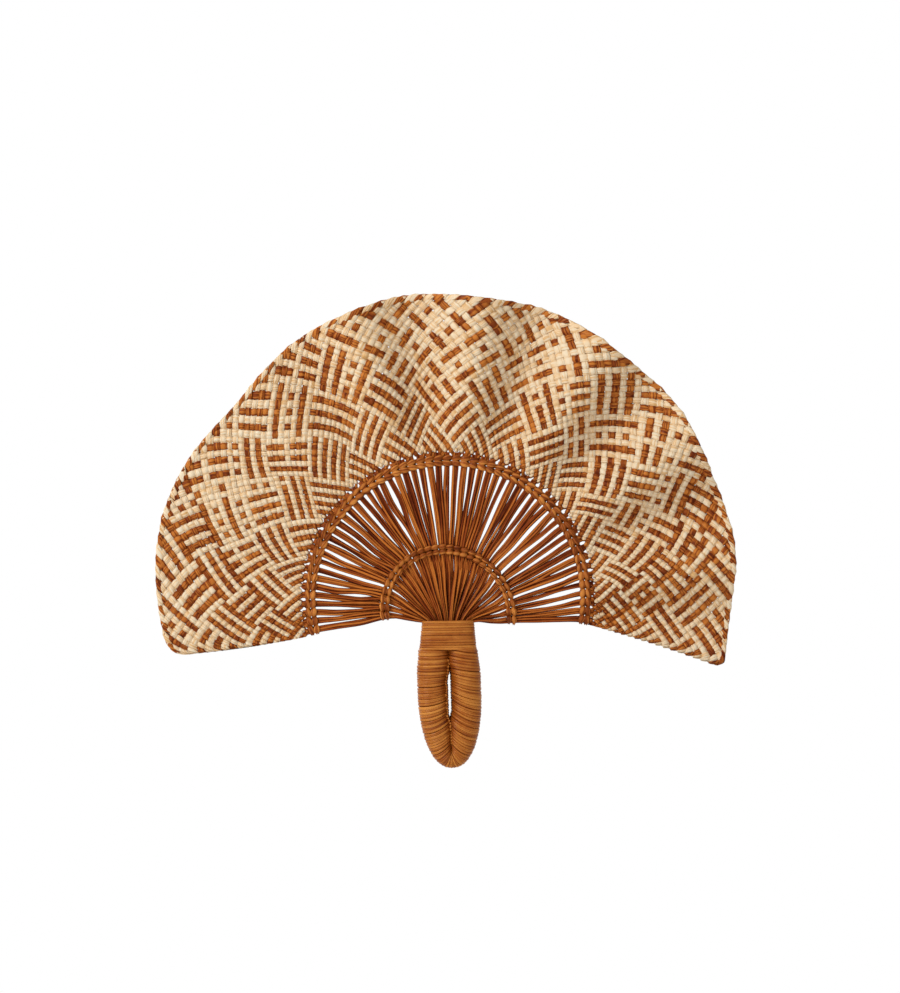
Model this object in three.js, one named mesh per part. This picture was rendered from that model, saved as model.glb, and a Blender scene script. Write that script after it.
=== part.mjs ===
// Palm leaf hand fan: a half-round plaited blade on a spray of ribs. The ribs are held apart by an
// inner ring and a double outer band of twining, gathered in a wound collar, and carried on into
// a wound loop that is the handle.
// Millimetres. +X is to the right, +Y to the back and +Z up. The origin is the middle of the grip.

import * as THREE from 'three';

// Driving dimensions

const CLEARANCE = 0.3; // between pieces that touch on the real fan

// Grip: the collar and the loop under it, measured over the winding
const GRIP_LENGTH = 101.7;
const COLLAR_LENGTH = 22;
const COLLAR_TOP_WIDTH = 36;
const COLLAR_BOTTOM_WIDTH = 40;
const LOOP_WIDTH = 43.6;
const LOOP_WIDEST_DROP = 16; // from the collar down to where the loop is widest
const LOOP_BEND_HEIGHT = 50; // the round lower end of the loop
const LOOP_LEAN = 2.4; // degrees that the loop leans to the right, from the collar down
const LOOP_END_DEPTH = 12.5; // from the tip of the slit to the lower end
const SLIT_WIDTH = 2;
const LEG_THICKNESS = 18; // the bare legs, front to back
const LOOP_END_THICKNESS = 16; // the bare bend at its lowest point, front to back

// Winding strip
const STRIP_THICKNESS = 0.9;
const STRIP_GAP = 0.65; // between neighbouring turns
const LOOP_TURNS = 24;
const COLLAR_TURNS = 10;

// Ribs
const RIB_COUNT = 28;
const RIB_LAYERS = 3; // the roots lie in this many layers, front to back
const ROOT_DEPTH = 13; // how far the roots reach into the collar
const ROOT_INSET = 2; // from the collar's narrow sides to the outermost roots
const KNEE_LIFT = 0.6; // how far the lowest ribs clear the collar's edge
const KNEE_RISE = 13; // how much higher the middle ribs start to spread than the lowest ones
const RIB_WIDTH = 3.4;
const RIB_THICKNESS = 3;
const RIB_RING_WIDTH = 3; // where the inner ring grips a rib
const RIB_RING_THICKNESS = 2.8;
const FORK_WIDTH = 4.6;
const FORK_THICKNESS = 2.6;
const TINE_WIDTH = 2.6;
const TINE_THICKNESS = 2;
const TINE_STRAIGHT_LENGTH = 4; // a tine is straight from this far inside the first row
const TINE_PAST = 1.2; // and ends this far outside the second row

// Twining
const WEFT_THICKNESS = 1.1;
const INNER_RING_RADIUS = 44;
const INNER_RING_RISE = 4.6; // of the ring's centre over the collar
const INNER_WEFT_WIDTH = 2.8;
const BAND_ROW_RADIUS = 92.7;
const BAND_ROW_PITCH = 5.6;
const BAND_WEFT_WIDTH = 2.4;

// Blade
const FAN_RISE = 14.85; // of the blade's centre over the collar
const BLADE_RIGHT_ANGLE = -10.9; // at the band
const BLADE_LEFT_ANGLE = 195.3;
const BLADE_TWIST = 3.1; // degrees that the side edges turn clockwise from the band to the rim
const BLADE_THICKNESS = 2.5; // where two strips cross
const PLAIT_RELIEF = 0.9; // how far the crossings stand out from the hollows between them
const PLAIT_COLUMNS = 58; // crossings and hollows along the rim: wide strips stand for the many narrow ones
const PLAIT_ROWS = 10; // and from the band to the rim
const BLADE_SIDE_RADIUS = 197.2;
const BLADE_CROWN = 12.5; // how much further the rim reaches at the top
const RIM_RIPPLE = 1.2; // the ruffles draw the rim in and out by this much
const RIM_RIPPLE_PERIOD = 28.5; // degrees from dip to dip
const RIM_RIPPLE_DIP_ANGLE = 55;
const SHOULDER_DENT = 7.5; // the rim runs flat on the left shoulder
const SHOULDER_DENT_ANGLE = 136;
const SHOULDER_DENT_SPREAD = 13;
const CHEEK_BULGE = 4.5; // and bulges below it
const CHEEK_BULGE_ANGLE = 170;
const CHEEK_BULGE_SPREAD = 18;
const RIGHT_CORNER_RADIUS = 6;
const LEFT_CORNER_RADIUS = 12;
const WAVE_HEIGHT = 8.5; // of the ruffles at the rim, on the right
const WAVE_HEIGHT_LEFT = 2; // they fade towards the left
const WAVE_FADE_START = 95;
const WAVE_FADE_END = 150;
const WAVE_PERIOD = 25.5; // degrees from ridge to ridge
const WAVE_RIDGE_ANGLE = 84;
const WAVE_RISE_POWER = 4; // the higher, the nearer to the band the ruffles get their full height

// Fineness of the facets
const LEG_SIDES = 12;
const COLLAR_END_STEPS = 6;
const CORNER_STEPS = 4;

// Colours
const PALM_MIXED = 0xb98d62;
const PALM_DYED = 0x8b4f27;
const PALM_BUNDLE = 0x7d4a26;
const PALM_WRAP = 0x9a6232;
const DULL = 0.7;
const SATIN = 0.55;

const { clamp, lerp, degToRad, radToDeg, smoothstep } = THREE.MathUtils;

// Places worked out from the driving dimensions
const COLLAR_TOP = GRIP_LENGTH / 2;
const COLLAR_BOTTOM = COLLAR_TOP - COLLAR_LENGTH;
const LOOP_BOTTOM = -GRIP_LENGTH / 2;
const BEND_START = LOOP_BOTTOM + LOOP_BEND_HEIGHT;
const SKIN = CLEARANCE + STRIP_THICKNESS; // from the bare core to the outside of the winding
const CORE_SLIT = SLIT_WIDTH / 2 + SKIN;
const SLIT_END_CENTRE = LOOP_BOTTOM + LOOP_END_DEPTH + SLIT_WIDTH / 2;
const CORE_TOP = COLLAR_TOP - ROOT_DEPTH - CLEARANCE;
const HALF_TURN = Math.PI;
const QUARTER_TURN = Math.PI / 2;

// One closed solid, put together from rings of points
class Shell {
  constructor() {
    this.points = [];
    this.faces = [];
  }

  ring(points) {
    const first = this.points.length;
    this.points.push(...points);
    return points.map((point, i) => first + i);
  }

  // A wall from one ring to the next. A field of it whose first corner stands out is folded between the
  // two corners beside that one.
  bridge(a, b, stands = () => false) {
    a.forEach((corner, i) => {
      const j = (i + 1) % a.length;
      if (stands(i)) this.faces.push([corner, a[j], b[i]], [a[j], b[j], b[i]]);
      else this.faces.push([corner, a[j], b[j]], [corner, b[j], b[i]]);
    });
  }

  // A flat end, in strips across the ring
  cap(ring) {
    const last = ring.length - 1;
    for (let i = 0; i < last - i; i += 1) {
      this.faces.push([ring[i], ring[i + 1], ring[last - i]]);
      if (i + 1 < last - i - 1) {
        this.faces.push([ring[i + 1], ring[last - i - 1], ring[last - i]]);
      }
    }
  }

  static loft(sections, stands = () => false) {
    const shell = new Shell();
    const rings = sections.map((section) => shell.ring(section));
    shell.cap([...rings[0]].reverse());
    rings.slice(1).forEach((ring, i) => shell.bridge(rings[i], ring, (corner) => stands(i, corner)));
    shell.cap(rings.at(-1));
    return shell;
  }

  // The faces point out: a negative volume means that they all have to turn
  geometry() {
    const volume = this.faces.reduce((sum, [a, b, c]) => {
      const normal = this.points[b].clone().cross(this.points[c]);
      return sum + this.points[a].dot(normal);
    }, 0);
    const faces = volume < 0 ? this.faces.map((face) => [...face].reverse()) : this.faces;
    const geometry = new THREE.BufferGeometry().setFromPoints(this.points);
    geometry.setIndex(faces.flat());
    geometry.computeVertexNormals();
    return geometry;
  }
}

function makeMesh(name, shell, color, roughness) {
  const material = new THREE.MeshStandardMaterial({ color, roughness, metalness: 0 });
  const mesh = new THREE.Mesh(shell.geometry(), material);
  mesh.name = name;
  return mesh;
}

function polar(centreZ, radius, angle, y = 0) {
  return new THREE.Vector3(radius * Math.cos(angle), y, centreZ + radius * Math.sin(angle));
}

// Handle: two round legs, joined by a bend

// Half of the collar's inner width at a height
function collarReach(z) {
  const up = (z - COLLAR_BOTTOM) / COLLAR_LENGTH;
  return lerp(COLLAR_BOTTOM_WIDTH, COLLAR_TOP_WIDTH, up) / 2 - STRIP_THICKNESS;
}

// Half of the bare loop's width at a height above the bend
function legReach(z) {
  if (z >= COLLAR_BOTTOM) return collarReach(z) - CLEARANCE;
  const down = smoothstep(COLLAR_BOTTOM - z, 0, LOOP_WIDEST_DROP);
  return lerp(collarReach(COLLAR_BOTTOM) - CLEARANCE, LOOP_WIDTH / 2 - SKIN, down);
}

// A cross section of the left leg at a height
function legSection(z) {
  return {
    inner: new THREE.Vector3(-CORE_SLIT, 0, z),
    outer: new THREE.Vector3(-legReach(z), 0, z),
    thickness: LEG_THICKNESS,
  };
}

// A cross section of the left half of the bend: turn goes from 0, at the leg, to 1, at the bottom.
// Its outer end follows a quarter ellipse. Its inner end goes down the slit and round the slit's tip.
const TIP_TURN = 0.9; // where the slit's round tip starts
function bendSection(turn) {
  const angle = turn * QUARTER_TURN;
  const tip = Math.max(0, turn - TIP_TURN) / (1 - TIP_TURN) * QUARTER_TURN;
  const down = Math.min(1, turn / TIP_TURN);
  const inner = new THREE.Vector3(
    -CORE_SLIT * Math.cos(tip), 0, lerp(BEND_START, SLIT_END_CENTRE, down) - CORE_SLIT * Math.sin(tip),
  );
  const outer = new THREE.Vector3(
    -(LOOP_WIDTH / 2 - SKIN) * Math.cos(angle), 0, BEND_START - (LOOP_BEND_HEIGHT - SKIN) * Math.sin(angle),
  );
  return { inner, outer, thickness: lerp(LEG_THICKNESS, LOOP_END_THICKNESS, turn) };
}

// Along the wound loop: 0 is the top of the left leg, 0.5 the bottom and 1 the top of the right leg. The turns
// are shared out between the legs and the bend by the length of their outer edges.
const LEG_LENGTH = COLLAR_BOTTOM - BEND_START;
const BEND_LENGTH = QUARTER_TURN * Math.hypot(LOOP_WIDTH / 2, LOOP_BEND_HEIGHT) / Math.SQRT2;
const LEG_SHARE = LEG_LENGTH / (LEG_LENGTH + BEND_LENGTH);
function loopSection(along) {
  const down = 1 - Math.abs(1 - 2 * along);
  const section = down < LEG_SHARE
    ? legSection(lerp(COLLAR_BOTTOM - CLEARANCE, BEND_START, down / LEG_SHARE))
    : bendSection((down - LEG_SHARE) / (1 - LEG_SHARE));
  if (along > 0.5) {
    section.inner.x *= -1;
    section.outer.x *= -1;
  }
  return section;
}

// A point of the upright loop, moved to where the loop's lean takes it
function leaned(point) {
  const down = Math.max(0, COLLAR_BOTTOM - point.z);
  return point.clone().setX(point.x + down * Math.tan(degToRad(LOOP_LEAN)));
}

// A point of the bare, upright loop: around is an angle, 0 on the outside and a half turn at the slit
function sectionPoint({ inner, outer, thickness }, around) {
  const point = inner.clone().add(outer).multiplyScalar(0.5);
  point.addScaledVector(outer.clone().sub(inner), Math.cos(around) / 2);
  point.y = thickness / 2 * Math.sin(around);
  return point;
}

const NORMAL_STEP = 1e-3;
function loopPoint(along, around, offset) {
  const point = sectionPoint(loopSection(along), around);
  const before = sectionPoint(loopSection(Math.max(0, along - NORMAL_STEP)), around);
  const ahead = sectionPoint(loopSection(Math.min(1, along + NORMAL_STEP)), around);
  const left = sectionPoint(loopSection(along), around - NORMAL_STEP);
  const right = sectionPoint(loopSection(along), around + NORMAL_STEP);
  const normal = right.sub(left).cross(ahead.sub(before)).normalize();
  return leaned(point.addScaledVector(normal, offset));
}

// Heights of the core's rings on a leg, as shares of the way from the collar to the bend, and their
// places on the bend, close together round the slit's tip
const LEG_RINGS = [0, 0.2, 0.4, 0.7];
const BEND_RINGS = [0, 0.2, 0.4, 0.6, 0.8, 1].map((share) => share * TIP_TURN);
const TIP_RINGS = [1 / 3, 2 / 3, 1].map((share) => lerp(TIP_TURN, 1, share));
function handleCore() {
  const heights = [CORE_TOP, ...LEG_RINGS.map((share) => lerp(COLLAR_BOTTOM, BEND_START, share))];
  const left = [...heights.map(legSection), ...[...BEND_RINGS, ...TIP_RINGS].map(bendSection)];
  const angles = Array.from({ length: LEG_SIDES }, (_, i) => i / LEG_SIDES * 2 * HALF_TURN);
  const leftRings = left.map((section) => angles.map((around) => sectionPoint(section, around)));
  const rightRings = leftRings.slice(0, -1).reverse().map(
    (ring) => ring.map((point) => new THREE.Vector3(-point.x, point.y, point.z)),
  );
  return Shell.loft([...leftRings, ...rightRings].map((ring) => ring.map(leaned)));
}

// Windings: one flat strip each

// The least distance between corners that lie more than half a turn apart along the strip
function leastSelfGap(sections, stepsPerTurn) {
  let least = Infinity;
  sections.forEach((section, i) => {
    for (let j = i + Math.ceil(stepsPerTurn / 2) + 1; j < sections.length; j += 1) {
      for (const a of section) {
        for (const b of sections[j]) {
          least = Math.min(least, a.distanceTo(b));
        }
      }
    }
  });
  return least;
}

// The strip bends over its own width too, so its section has a point in the middle of each face
function handleWinding() {
  const pitch = 1 / (LOOP_TURNS + 1);
  const sections = [];
  for (let step = 0; step <= LOOP_TURNS * LEG_SIDES; step += 1) {
    const around = step / LEG_SIDES * 2 * HALF_TURN;
    const along = (step / LEG_SIDES + 0.5) * pitch;
    const spacings = [CLEARANCE, SKIN].map((offset) => {
      const ahead = loopPoint(along + pitch / 2, around, offset);
      return ahead.distanceTo(loopPoint(along - pitch / 2, around, offset));
    });
    const half = pitch / 2 * (1 - STRIP_GAP / Math.min(...spacings));
    const places = [along - half, along, along + half];
    sections.push([
      ...places.map((place) => loopPoint(place, around, CLEARANCE)),
      ...places.reverse().map((place) => loopPoint(place, around, SKIN)),
    ]);
  }
  console.log(`handle_winding: least gap to itself ${leastSelfGap(sections, LEG_SIDES).toFixed(2)} mm`);
  return Shell.loft(sections);
}

// A point of the collar: flat at the front and the back, with round ends that follow the legs
function collarPoint(z, corner, offset) {
  const side = corner <= COLLAR_END_STEPS ? 1 : -1;
  const turn = (corner % (COLLAR_END_STEPS + 1)) / COLLAR_END_STEPS * HALF_TURN - QUARTER_TURN;
  const reach = collarReach(z) - CLEARANCE;
  const middle = (CORE_SLIT + reach) / 2;
  const halfWidth = (reach - CORE_SLIT) / 2 + offset;
  const halfThickness = LEG_THICKNESS / 2 + offset;
  return new THREE.Vector3(
    side * (middle + halfWidth * Math.cos(turn)), side * halfThickness * Math.sin(turn), z,
  );
}

function collarWinding() {
  const stepsPerTurn = 2 * (COLLAR_END_STEPS + 1);
  const pitch = (COLLAR_LENGTH + STRIP_GAP) / (COLLAR_TURNS + 1);
  const half = (pitch - STRIP_GAP) / 2;
  const sections = [];
  for (let step = 0; step <= COLLAR_TURNS * stepsPerTurn; step += 1) {
    const z = COLLAR_BOTTOM + half + step / stepsPerTurn * pitch;
    const corner = step % stepsPerTurn;
    sections.push([
      collarPoint(z - half, corner, CLEARANCE),
      collarPoint(z + half, corner, CLEARANCE),
      collarPoint(z + half, corner, SKIN),
      collarPoint(z - half, corner, SKIN),
    ]);
  }
  console.log(`collar_winding: least gap to itself ${leastSelfGap(sections, stepsPerTurn).toFixed(2)} mm`);
  return Shell.loft(sections);
}

// Ribs

const FAN_CENTRE = COLLAR_TOP + FAN_RISE;
const RING_CENTRE = COLLAR_TOP + INNER_RING_RISE;
const BAND_ROWS = [BAND_ROW_RADIUS, BAND_ROW_RADIUS + BAND_ROW_PITCH];
const BAND_REACH = BAND_WEFT_WIDTH + CLEARANCE / 2; // from a row's middle to its edge
const TINE_TIP = BAND_ROWS.at(-1) + BAND_REACH + TINE_PAST;
const BLADE_INNER_RADIUS = TINE_TIP + CLEARANCE;

// Angle of a tine's tip, from the left of the blade to the right
function tineAngle(index) {
  const share = (index + 0.5) / (2 * RIB_COUNT);
  return degToRad(lerp(BLADE_LEFT_ANGLE, BLADE_RIGHT_ANGLE, share));
}

// Roots stand side by side in layers, and fill the collar between its round ends
const rootReach = collarReach(COLLAR_TOP) - CLEARANCE - ROOT_INSET;
const rootsPerLayer = (RIB_COUNT - 1) / RIB_LAYERS;
const ROOT_WIDTH = (2 * rootReach - rootsPerLayer * CLEARANCE) / (1 + rootsPerLayer);
const HUB = COLLAR_TOP + ROOT_WIDTH / 2 + CLEARANCE + KNEE_LIFT;

// A root is as thick as the collar has room for. In the middle layer it is as thin as its outer neighbour.
function ribRoot(index) {
  const x = lerp(-1, 1, index / (RIB_COUNT - 1)) * (rootReach - ROOT_WIDTH / 2);
  const layer = index % RIB_LAYERS - (RIB_LAYERS - 1) / 2;
  const neighbour = layer === 0 ? (ROOT_WIDTH + CLEARANCE) / RIB_LAYERS : 0;
  const reach = collarReach(COLLAR_TOP) - CLEARANCE;
  const middle = (CORE_SLIT + reach) / 2;
  const outside = Math.abs(x) + neighbour + ROOT_WIDTH / 2;
  const roundPart = Math.max(0, outside - middle) / (reach - middle);
  const room = LEG_THICKNESS * Math.sqrt(1 - roundPart ** 2);
  const thickness = (room - (RIB_LAYERS - 1) * CLEARANCE) / RIB_LAYERS;
  return { x, thickness, y: layer * (thickness + CLEARANCE) };
}

// The corners of a rib's section, as shares of its width and thickness. The stem has two more corners,
// in the middle of its front and back, where it splits.
const TINE_CORNERS = [[0.5, 0], [0.3, -0.5], [-0.3, -0.5], [-0.5, 0], [-0.3, 0.5], [0.3, 0.5]];
const STEM_CORNERS = [
  [0.5, 0], [0.3, -0.5], [0, -0.5], [-0.3, -0.5], [-0.5, 0], [-0.3, 0.5], [0, 0.5], [0.3, 0.5],
];

function ribSection(corners, centre, across, width, thickness) {
  return corners.map(([u, v]) => {
    const point = centre.clone().addScaledVector(across, u * width);
    point.y += v * thickness;
    return point;
  });
}

// A direction in the plane of the fan, turned a quarter clockwise
function acrossOf(direction) {
  return new THREE.Vector3(direction.z, 0, -direction.x).normalize();
}

// The course of a rib: root, knee, and a straight run through the inner ring to the band
function ribCourse(index) {
  const root = ribRoot(index);
  const spread = lerp(HALF_TURN, 0, index / (RIB_COUNT - 1));
  const knee = new THREE.Vector3(root.x, 0, HUB + KNEE_RISE * Math.sin(spread));
  const tines = [tineAngle(2 * index), tineAngle(2 * index + 1)];
  const end = polar(FAN_CENTRE, BAND_ROW_RADIUS - TINE_STRAIGHT_LENGTH, (tines[0] + tines[1]) / 2);
  const run = end.clone().sub(knee);
  const fromCentre = knee.clone().sub(new THREE.Vector3(0, 0, RING_CENTRE));
  const b = fromCentre.dot(run) / run.lengthSq();
  const c = (fromCentre.lengthSq() - INNER_RING_RADIUS ** 2) / run.lengthSq();
  const ringShare = -b + Math.sqrt(b ** 2 - c);
  return { root, knee, end, ringShare, tines };
}

const MID_SHARE = 0.7; // of the run up to the inner ring, where the layers start to close up
const MID_LAYER_SHARE = 0.75;
const FORK_SHARE = 0.4; // of the run from the inner ring to the band
function rib(index) {
  const { root, knee, end, ringShare, tines } = ribCourse(index);
  const up = new THREE.Vector3(0, 0, 1);
  const run = end.clone().sub(knee).normalize();
  const bisector = up.clone().add(run).normalize();
  const mitre = 1 / up.dot(bisector);
  const across = acrossOf(run);
  const at = (share, y) => knee.clone().lerp(end, share).setY(y);
  const ringHalf = (INNER_WEFT_WIDTH + CLEARANCE) / knee.distanceTo(end);
  const shell = new Shell();
  const stem = [
    ribSection(STEM_CORNERS, new THREE.Vector3(root.x, root.y, COLLAR_TOP - ROOT_DEPTH),
      acrossOf(up), ROOT_WIDTH, root.thickness),
    ribSection(STEM_CORNERS, at(0, root.y), acrossOf(bisector), ROOT_WIDTH * mitre, root.thickness),
    ribSection(STEM_CORNERS, at(ringShare * MID_SHARE, root.y * MID_LAYER_SHARE), across,
      RIB_WIDTH, RIB_THICKNESS),
    ribSection(STEM_CORNERS, at(ringShare - ringHalf, 0), across, RIB_RING_WIDTH, RIB_RING_THICKNESS),
    ribSection(STEM_CORNERS, at(ringShare + ringHalf, 0), across, RIB_RING_WIDTH, RIB_RING_THICKNESS),
    ribSection(STEM_CORNERS, at(lerp(ringShare, 1, FORK_SHARE), 0), across, FORK_WIDTH, FORK_THICKNESS),
  ].map((section) => shell.ring(section));
  shell.cap([...stem[0]].reverse());
  stem.slice(1).forEach((ring, i) => shell.bridge(stem[i], ring));

  const fork = stem.at(-1);
  const [crotch] = shell.ring([at(lerp(ringShare, 1, FORK_SHARE), 0)]);
  const halves = [[2, 3, 4, 5, 6], [6, 7, 0, 1, 2]];
  const turnedCorners = [1, 4].map(
    (first) => [...TINE_CORNERS.slice(first), ...TINE_CORNERS.slice(0, first)],
  );
  tines.forEach((angle, side) => {
    const outward = acrossOf(polar(0, 1, angle));
    const rings = [BAND_ROW_RADIUS - TINE_STRAIGHT_LENGTH, TINE_TIP].map((radius) => shell.ring(
      ribSection(turnedCorners[side], polar(FAN_CENTRE, radius, angle), outward, TINE_WIDTH, TINE_THICKNESS),
    ));
    shell.bridge([...halves[side].map((corner) => fork[corner]), crotch], rings[0]);
    shell.bridge(rings[0], rings[1]);
    shell.cap(rings[1]);
  });
  return shell;
}

// Twining: two strands that cross between each two ribs, one going to the front and one to the back

const BEAD_HALF = 0.28; // a strand lies flat this far to each side of a rib, as a share of the pitch
function weft({ centreZ, radius, angles, ribThickness, width, phase }) {
  const depth = ribThickness / 2 + CLEARANCE + WEFT_THICKNESS / 2;
  const sway = (width + CLEARANCE) / 2;
  const last = angles.length - 1;
  const swaySign = (gap) => ((gap + phase + 2) % 2 === 0 ? 1 : -1);
  const stops = [{ place: -0.5, y: 0, gap: -1 }];
  angles.forEach((_, index) => {
    const y = (index + phase) % 2 === 0 ? -depth : depth;
    stops.push({ place: index - BEAD_HALF, y, gap: index - 1 }, { place: index + BEAD_HALF, y, gap: index });
  });
  stops.push({ place: last + 0.5, y: 0, gap: last });

  const angleAt = (place) => {
    const low = Math.min(Math.max(Math.floor(place), 0), last - 1);
    return lerp(angles[low], angles[low + 1], place - low);
  };
  const flat = stops.map(({ place, y }) => new THREE.Vector2(-angleAt(place) * radius, y));
  const sections = stops.map(({ place, y, gap }, i) => {
    const before = flat[i].clone().sub(flat[Math.max(i - 1, 0)]).normalize();
    const after = flat[Math.min(i + 1, flat.length - 1)].clone().sub(flat[i]).normalize();
    const tangent = before.clone().add(after).normalize();
    const mitre = 1 / Math.max(tangent.dot(before), tangent.dot(after));
    const angle = angleAt(place);
    const outward = polar(0, 1, angle);
    const forward = acrossOf(outward);
    const normal = forward.multiplyScalar(-tangent.y);
    normal.y += tangent.x;
    const centre = polar(centreZ, radius + sway * swaySign(gap), angle, y);
    return [[1, 1], [1, -1], [-1, -1], [-1, 1]].map(([u, v]) => centre.clone()
      .addScaledVector(outward, u * width / 2)
      .addScaledVector(normal, v * mitre * WEFT_THICKNESS / 2));
  });
  return Shell.loft(sections);
}

function innerRingAngles() {
  return Array.from({ length: RIB_COUNT }, (_, index) => {
    const { knee, end, ringShare } = ribCourse(index);
    const crossing = knee.clone().lerp(end, ringShare);
    const angle = Math.atan2(crossing.z - RING_CENTRE, crossing.x);
    return angle < -QUARTER_TURN ? angle + 2 * HALF_TURN : angle;
  });
}

// Blade

// A smooth bump of height 1 at the given angle
function bump(angle, middle, spread) {
  return Math.exp(-(((angle - middle) / spread) ** 2));
}

// How far a round corner draws the rim in, at a distance along the rim from the blade's straight edge
function cornerCut(distance, radius) {
  return distance < radius ? radius - Math.sqrt(radius ** 2 - (radius - distance) ** 2) : 0;
}

// The rim's radius at the end of a column that leaves the band at an angle in degrees
function rimRadius(angle) {
  const end = angle - BLADE_TWIST;
  const ripple = RIM_RIPPLE * (1 - smoothstep(end, WAVE_FADE_START, WAVE_FADE_END));
  const radius = BLADE_SIDE_RADIUS + BLADE_CROWN * Math.sin(degToRad(end))
    - ripple * Math.cos((end - RIM_RIPPLE_DIP_ANGLE) / RIM_RIPPLE_PERIOD * 2 * HALF_TURN)
    - SHOULDER_DENT * bump(end, SHOULDER_DENT_ANGLE, SHOULDER_DENT_SPREAD)
    + CHEEK_BULGE * bump(end, CHEEK_BULGE_ANGLE, CHEEK_BULGE_SPREAD);
  const fromRight = degToRad(angle - BLADE_RIGHT_ANGLE) * BLADE_SIDE_RADIUS;
  const fromLeft = degToRad(BLADE_LEFT_ANGLE - angle) * BLADE_SIDE_RADIUS;
  return radius - cornerCut(fromRight, RIGHT_CORNER_RADIUS) - cornerCut(fromLeft, LEFT_CORNER_RADIUS);
}

// How far the blade stands forward: a ruffle that grows from nothing at the band to full at the rim,
// fast at first and then ever more slowly
function waveHeight(angle, radius) {
  const fade = smoothstep(angle, WAVE_FADE_START, WAVE_FADE_END);
  const height = lerp(WAVE_HEIGHT, WAVE_HEIGHT_LEFT, fade);
  const out = (radius - BLADE_INNER_RADIUS) / (BLADE_SIDE_RADIUS - BLADE_INNER_RADIUS);
  const grown = 1 - (1 - Math.min(1, out)) ** WAVE_RISE_POWER;
  return height * grown * Math.cos((angle - WAVE_RIDGE_ANGLE) / WAVE_PERIOD * 2 * HALF_TURN);
}

// Angles of the blade's columns at the band: close together at the round corners, and even between them
function bladeAngles() {
  const corner = (radius) => Array.from({ length: CORNER_STEPS }, (_, i) => {
    const distance = radius * (1 - Math.cos(i / CORNER_STEPS * QUARTER_TURN));
    return radToDeg(distance / BLADE_SIDE_RADIUS);
  });
  const right = corner(RIGHT_CORNER_RADIUS).map((angle) => BLADE_RIGHT_ANGLE + angle);
  const left = corner(LEFT_CORNER_RADIUS).map((angle) => BLADE_LEFT_ANGLE - angle).reverse();
  const from = BLADE_RIGHT_ANGLE + radToDeg(RIGHT_CORNER_RADIUS / BLADE_SIDE_RADIUS);
  const to = BLADE_LEFT_ANGLE - radToDeg(LEFT_CORNER_RADIUS / BLADE_SIDE_RADIUS);
  const even = Array.from({ length: PLAIT_COLUMNS + 1 }, (_, i) => lerp(from, to, i / PLAIT_COLUMNS));
  return [...right, ...even, ...left];
}

// Strips cross at every other place of a row, and the rows take turns. The narrow columns at the corners
// follow the whole ones beside them.
function isCrossing(column, row) {
  const whole = clamp(column, CORNER_STEPS, CORNER_STEPS + PLAIT_COLUMNS);
  return (whole + row) % 2 === 0;
}

// Half of the blade's thickness: full at the crossings and along the folded rim
function plaitHeight(column, row) {
  const standsOut = row === PLAIT_ROWS || isCrossing(column, row);
  return BLADE_THICKNESS / 2 - (standsOut ? 0 : PLAIT_RELIEF);
}

function wovenBlade() {
  const sections = bladeAngles().map((angle, column) => {
    const rim = rimRadius(angle);
    const side = (sign) => Array.from({ length: PLAIT_ROWS + 1 }, (_, row) => {
      const share = row / PLAIT_ROWS;
      const radius = lerp(BLADE_INNER_RADIUS, rim, share);
      const turned = angle - BLADE_TWIST * share;
      const y = sign * plaitHeight(column, row) - waveHeight(turned, radius);
      return polar(FAN_CENTRE, radius, degToRad(turned), y);
    });
    return [...side(-1), ...side(1).reverse()];
  });
  const backFirst = 2 * PLAIT_ROWS + 1;
  return Shell.loft(sections, (column, i) => isCrossing(column, Math.min(i, backFirst - i)));
}

// Assembly

const fan = new THREE.Group();
fan.add(makeMesh('woven_blade', wovenBlade(), PALM_MIXED, SATIN));

for (let index = 0; index < RIB_COUNT; index += 1) {
  const number = String(index + 1).padStart(2, '0');
  fan.add(makeMesh(`rib_bundle_${number}`, rib(index), PALM_DYED, SATIN));
}

const STRANDS = ['a', 'b'];
STRANDS.forEach((strand, phase) => {
  fan.add(makeMesh(`inner_ring_weft_${strand}`, weft({
    centreZ: RING_CENTRE,
    radius: INNER_RING_RADIUS,
    angles: innerRingAngles(),
    ribThickness: RIB_RING_THICKNESS,
    width: INNER_WEFT_WIDTH,
    phase,
  }), PALM_DYED, SATIN));
  BAND_ROWS.forEach((radius, row) => {
    fan.add(makeMesh(`outer_band_weft_${row + 1}${strand}`, weft({
      centreZ: FAN_CENTRE,
      radius,
      angles: Array.from({ length: 2 * RIB_COUNT }, (_, index) => tineAngle(index)),
      ribThickness: TINE_THICKNESS,
      width: BAND_WEFT_WIDTH,
      phase,
    }), PALM_DYED, SATIN));
  });
});

fan.add(makeMesh('handle_core', handleCore(), PALM_BUNDLE, DULL));
fan.add(makeMesh('handle_winding', handleWinding(), PALM_WRAP, SATIN));
fan.add(makeMesh('collar_winding', collarWinding(), PALM_WRAP, SATIN));

export default fan;
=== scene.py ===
"""Dresses the palm leaf hand fan.

The fan is a half-round plait of cream and brown palm strips on a spray of brown ribs. One twined ring and
one band of two twined rows hold the ribs apart. A wound collar gathers them, and a wound loop below it is
the grip. Sizes are millimetres in the fan's own frame: +X to the right, +Y to the back, +Z up from the grip
to the blade.
"""

import logging
import math
from collections.abc import Callable
from dataclasses import dataclass, field
from enum import Enum

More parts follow.
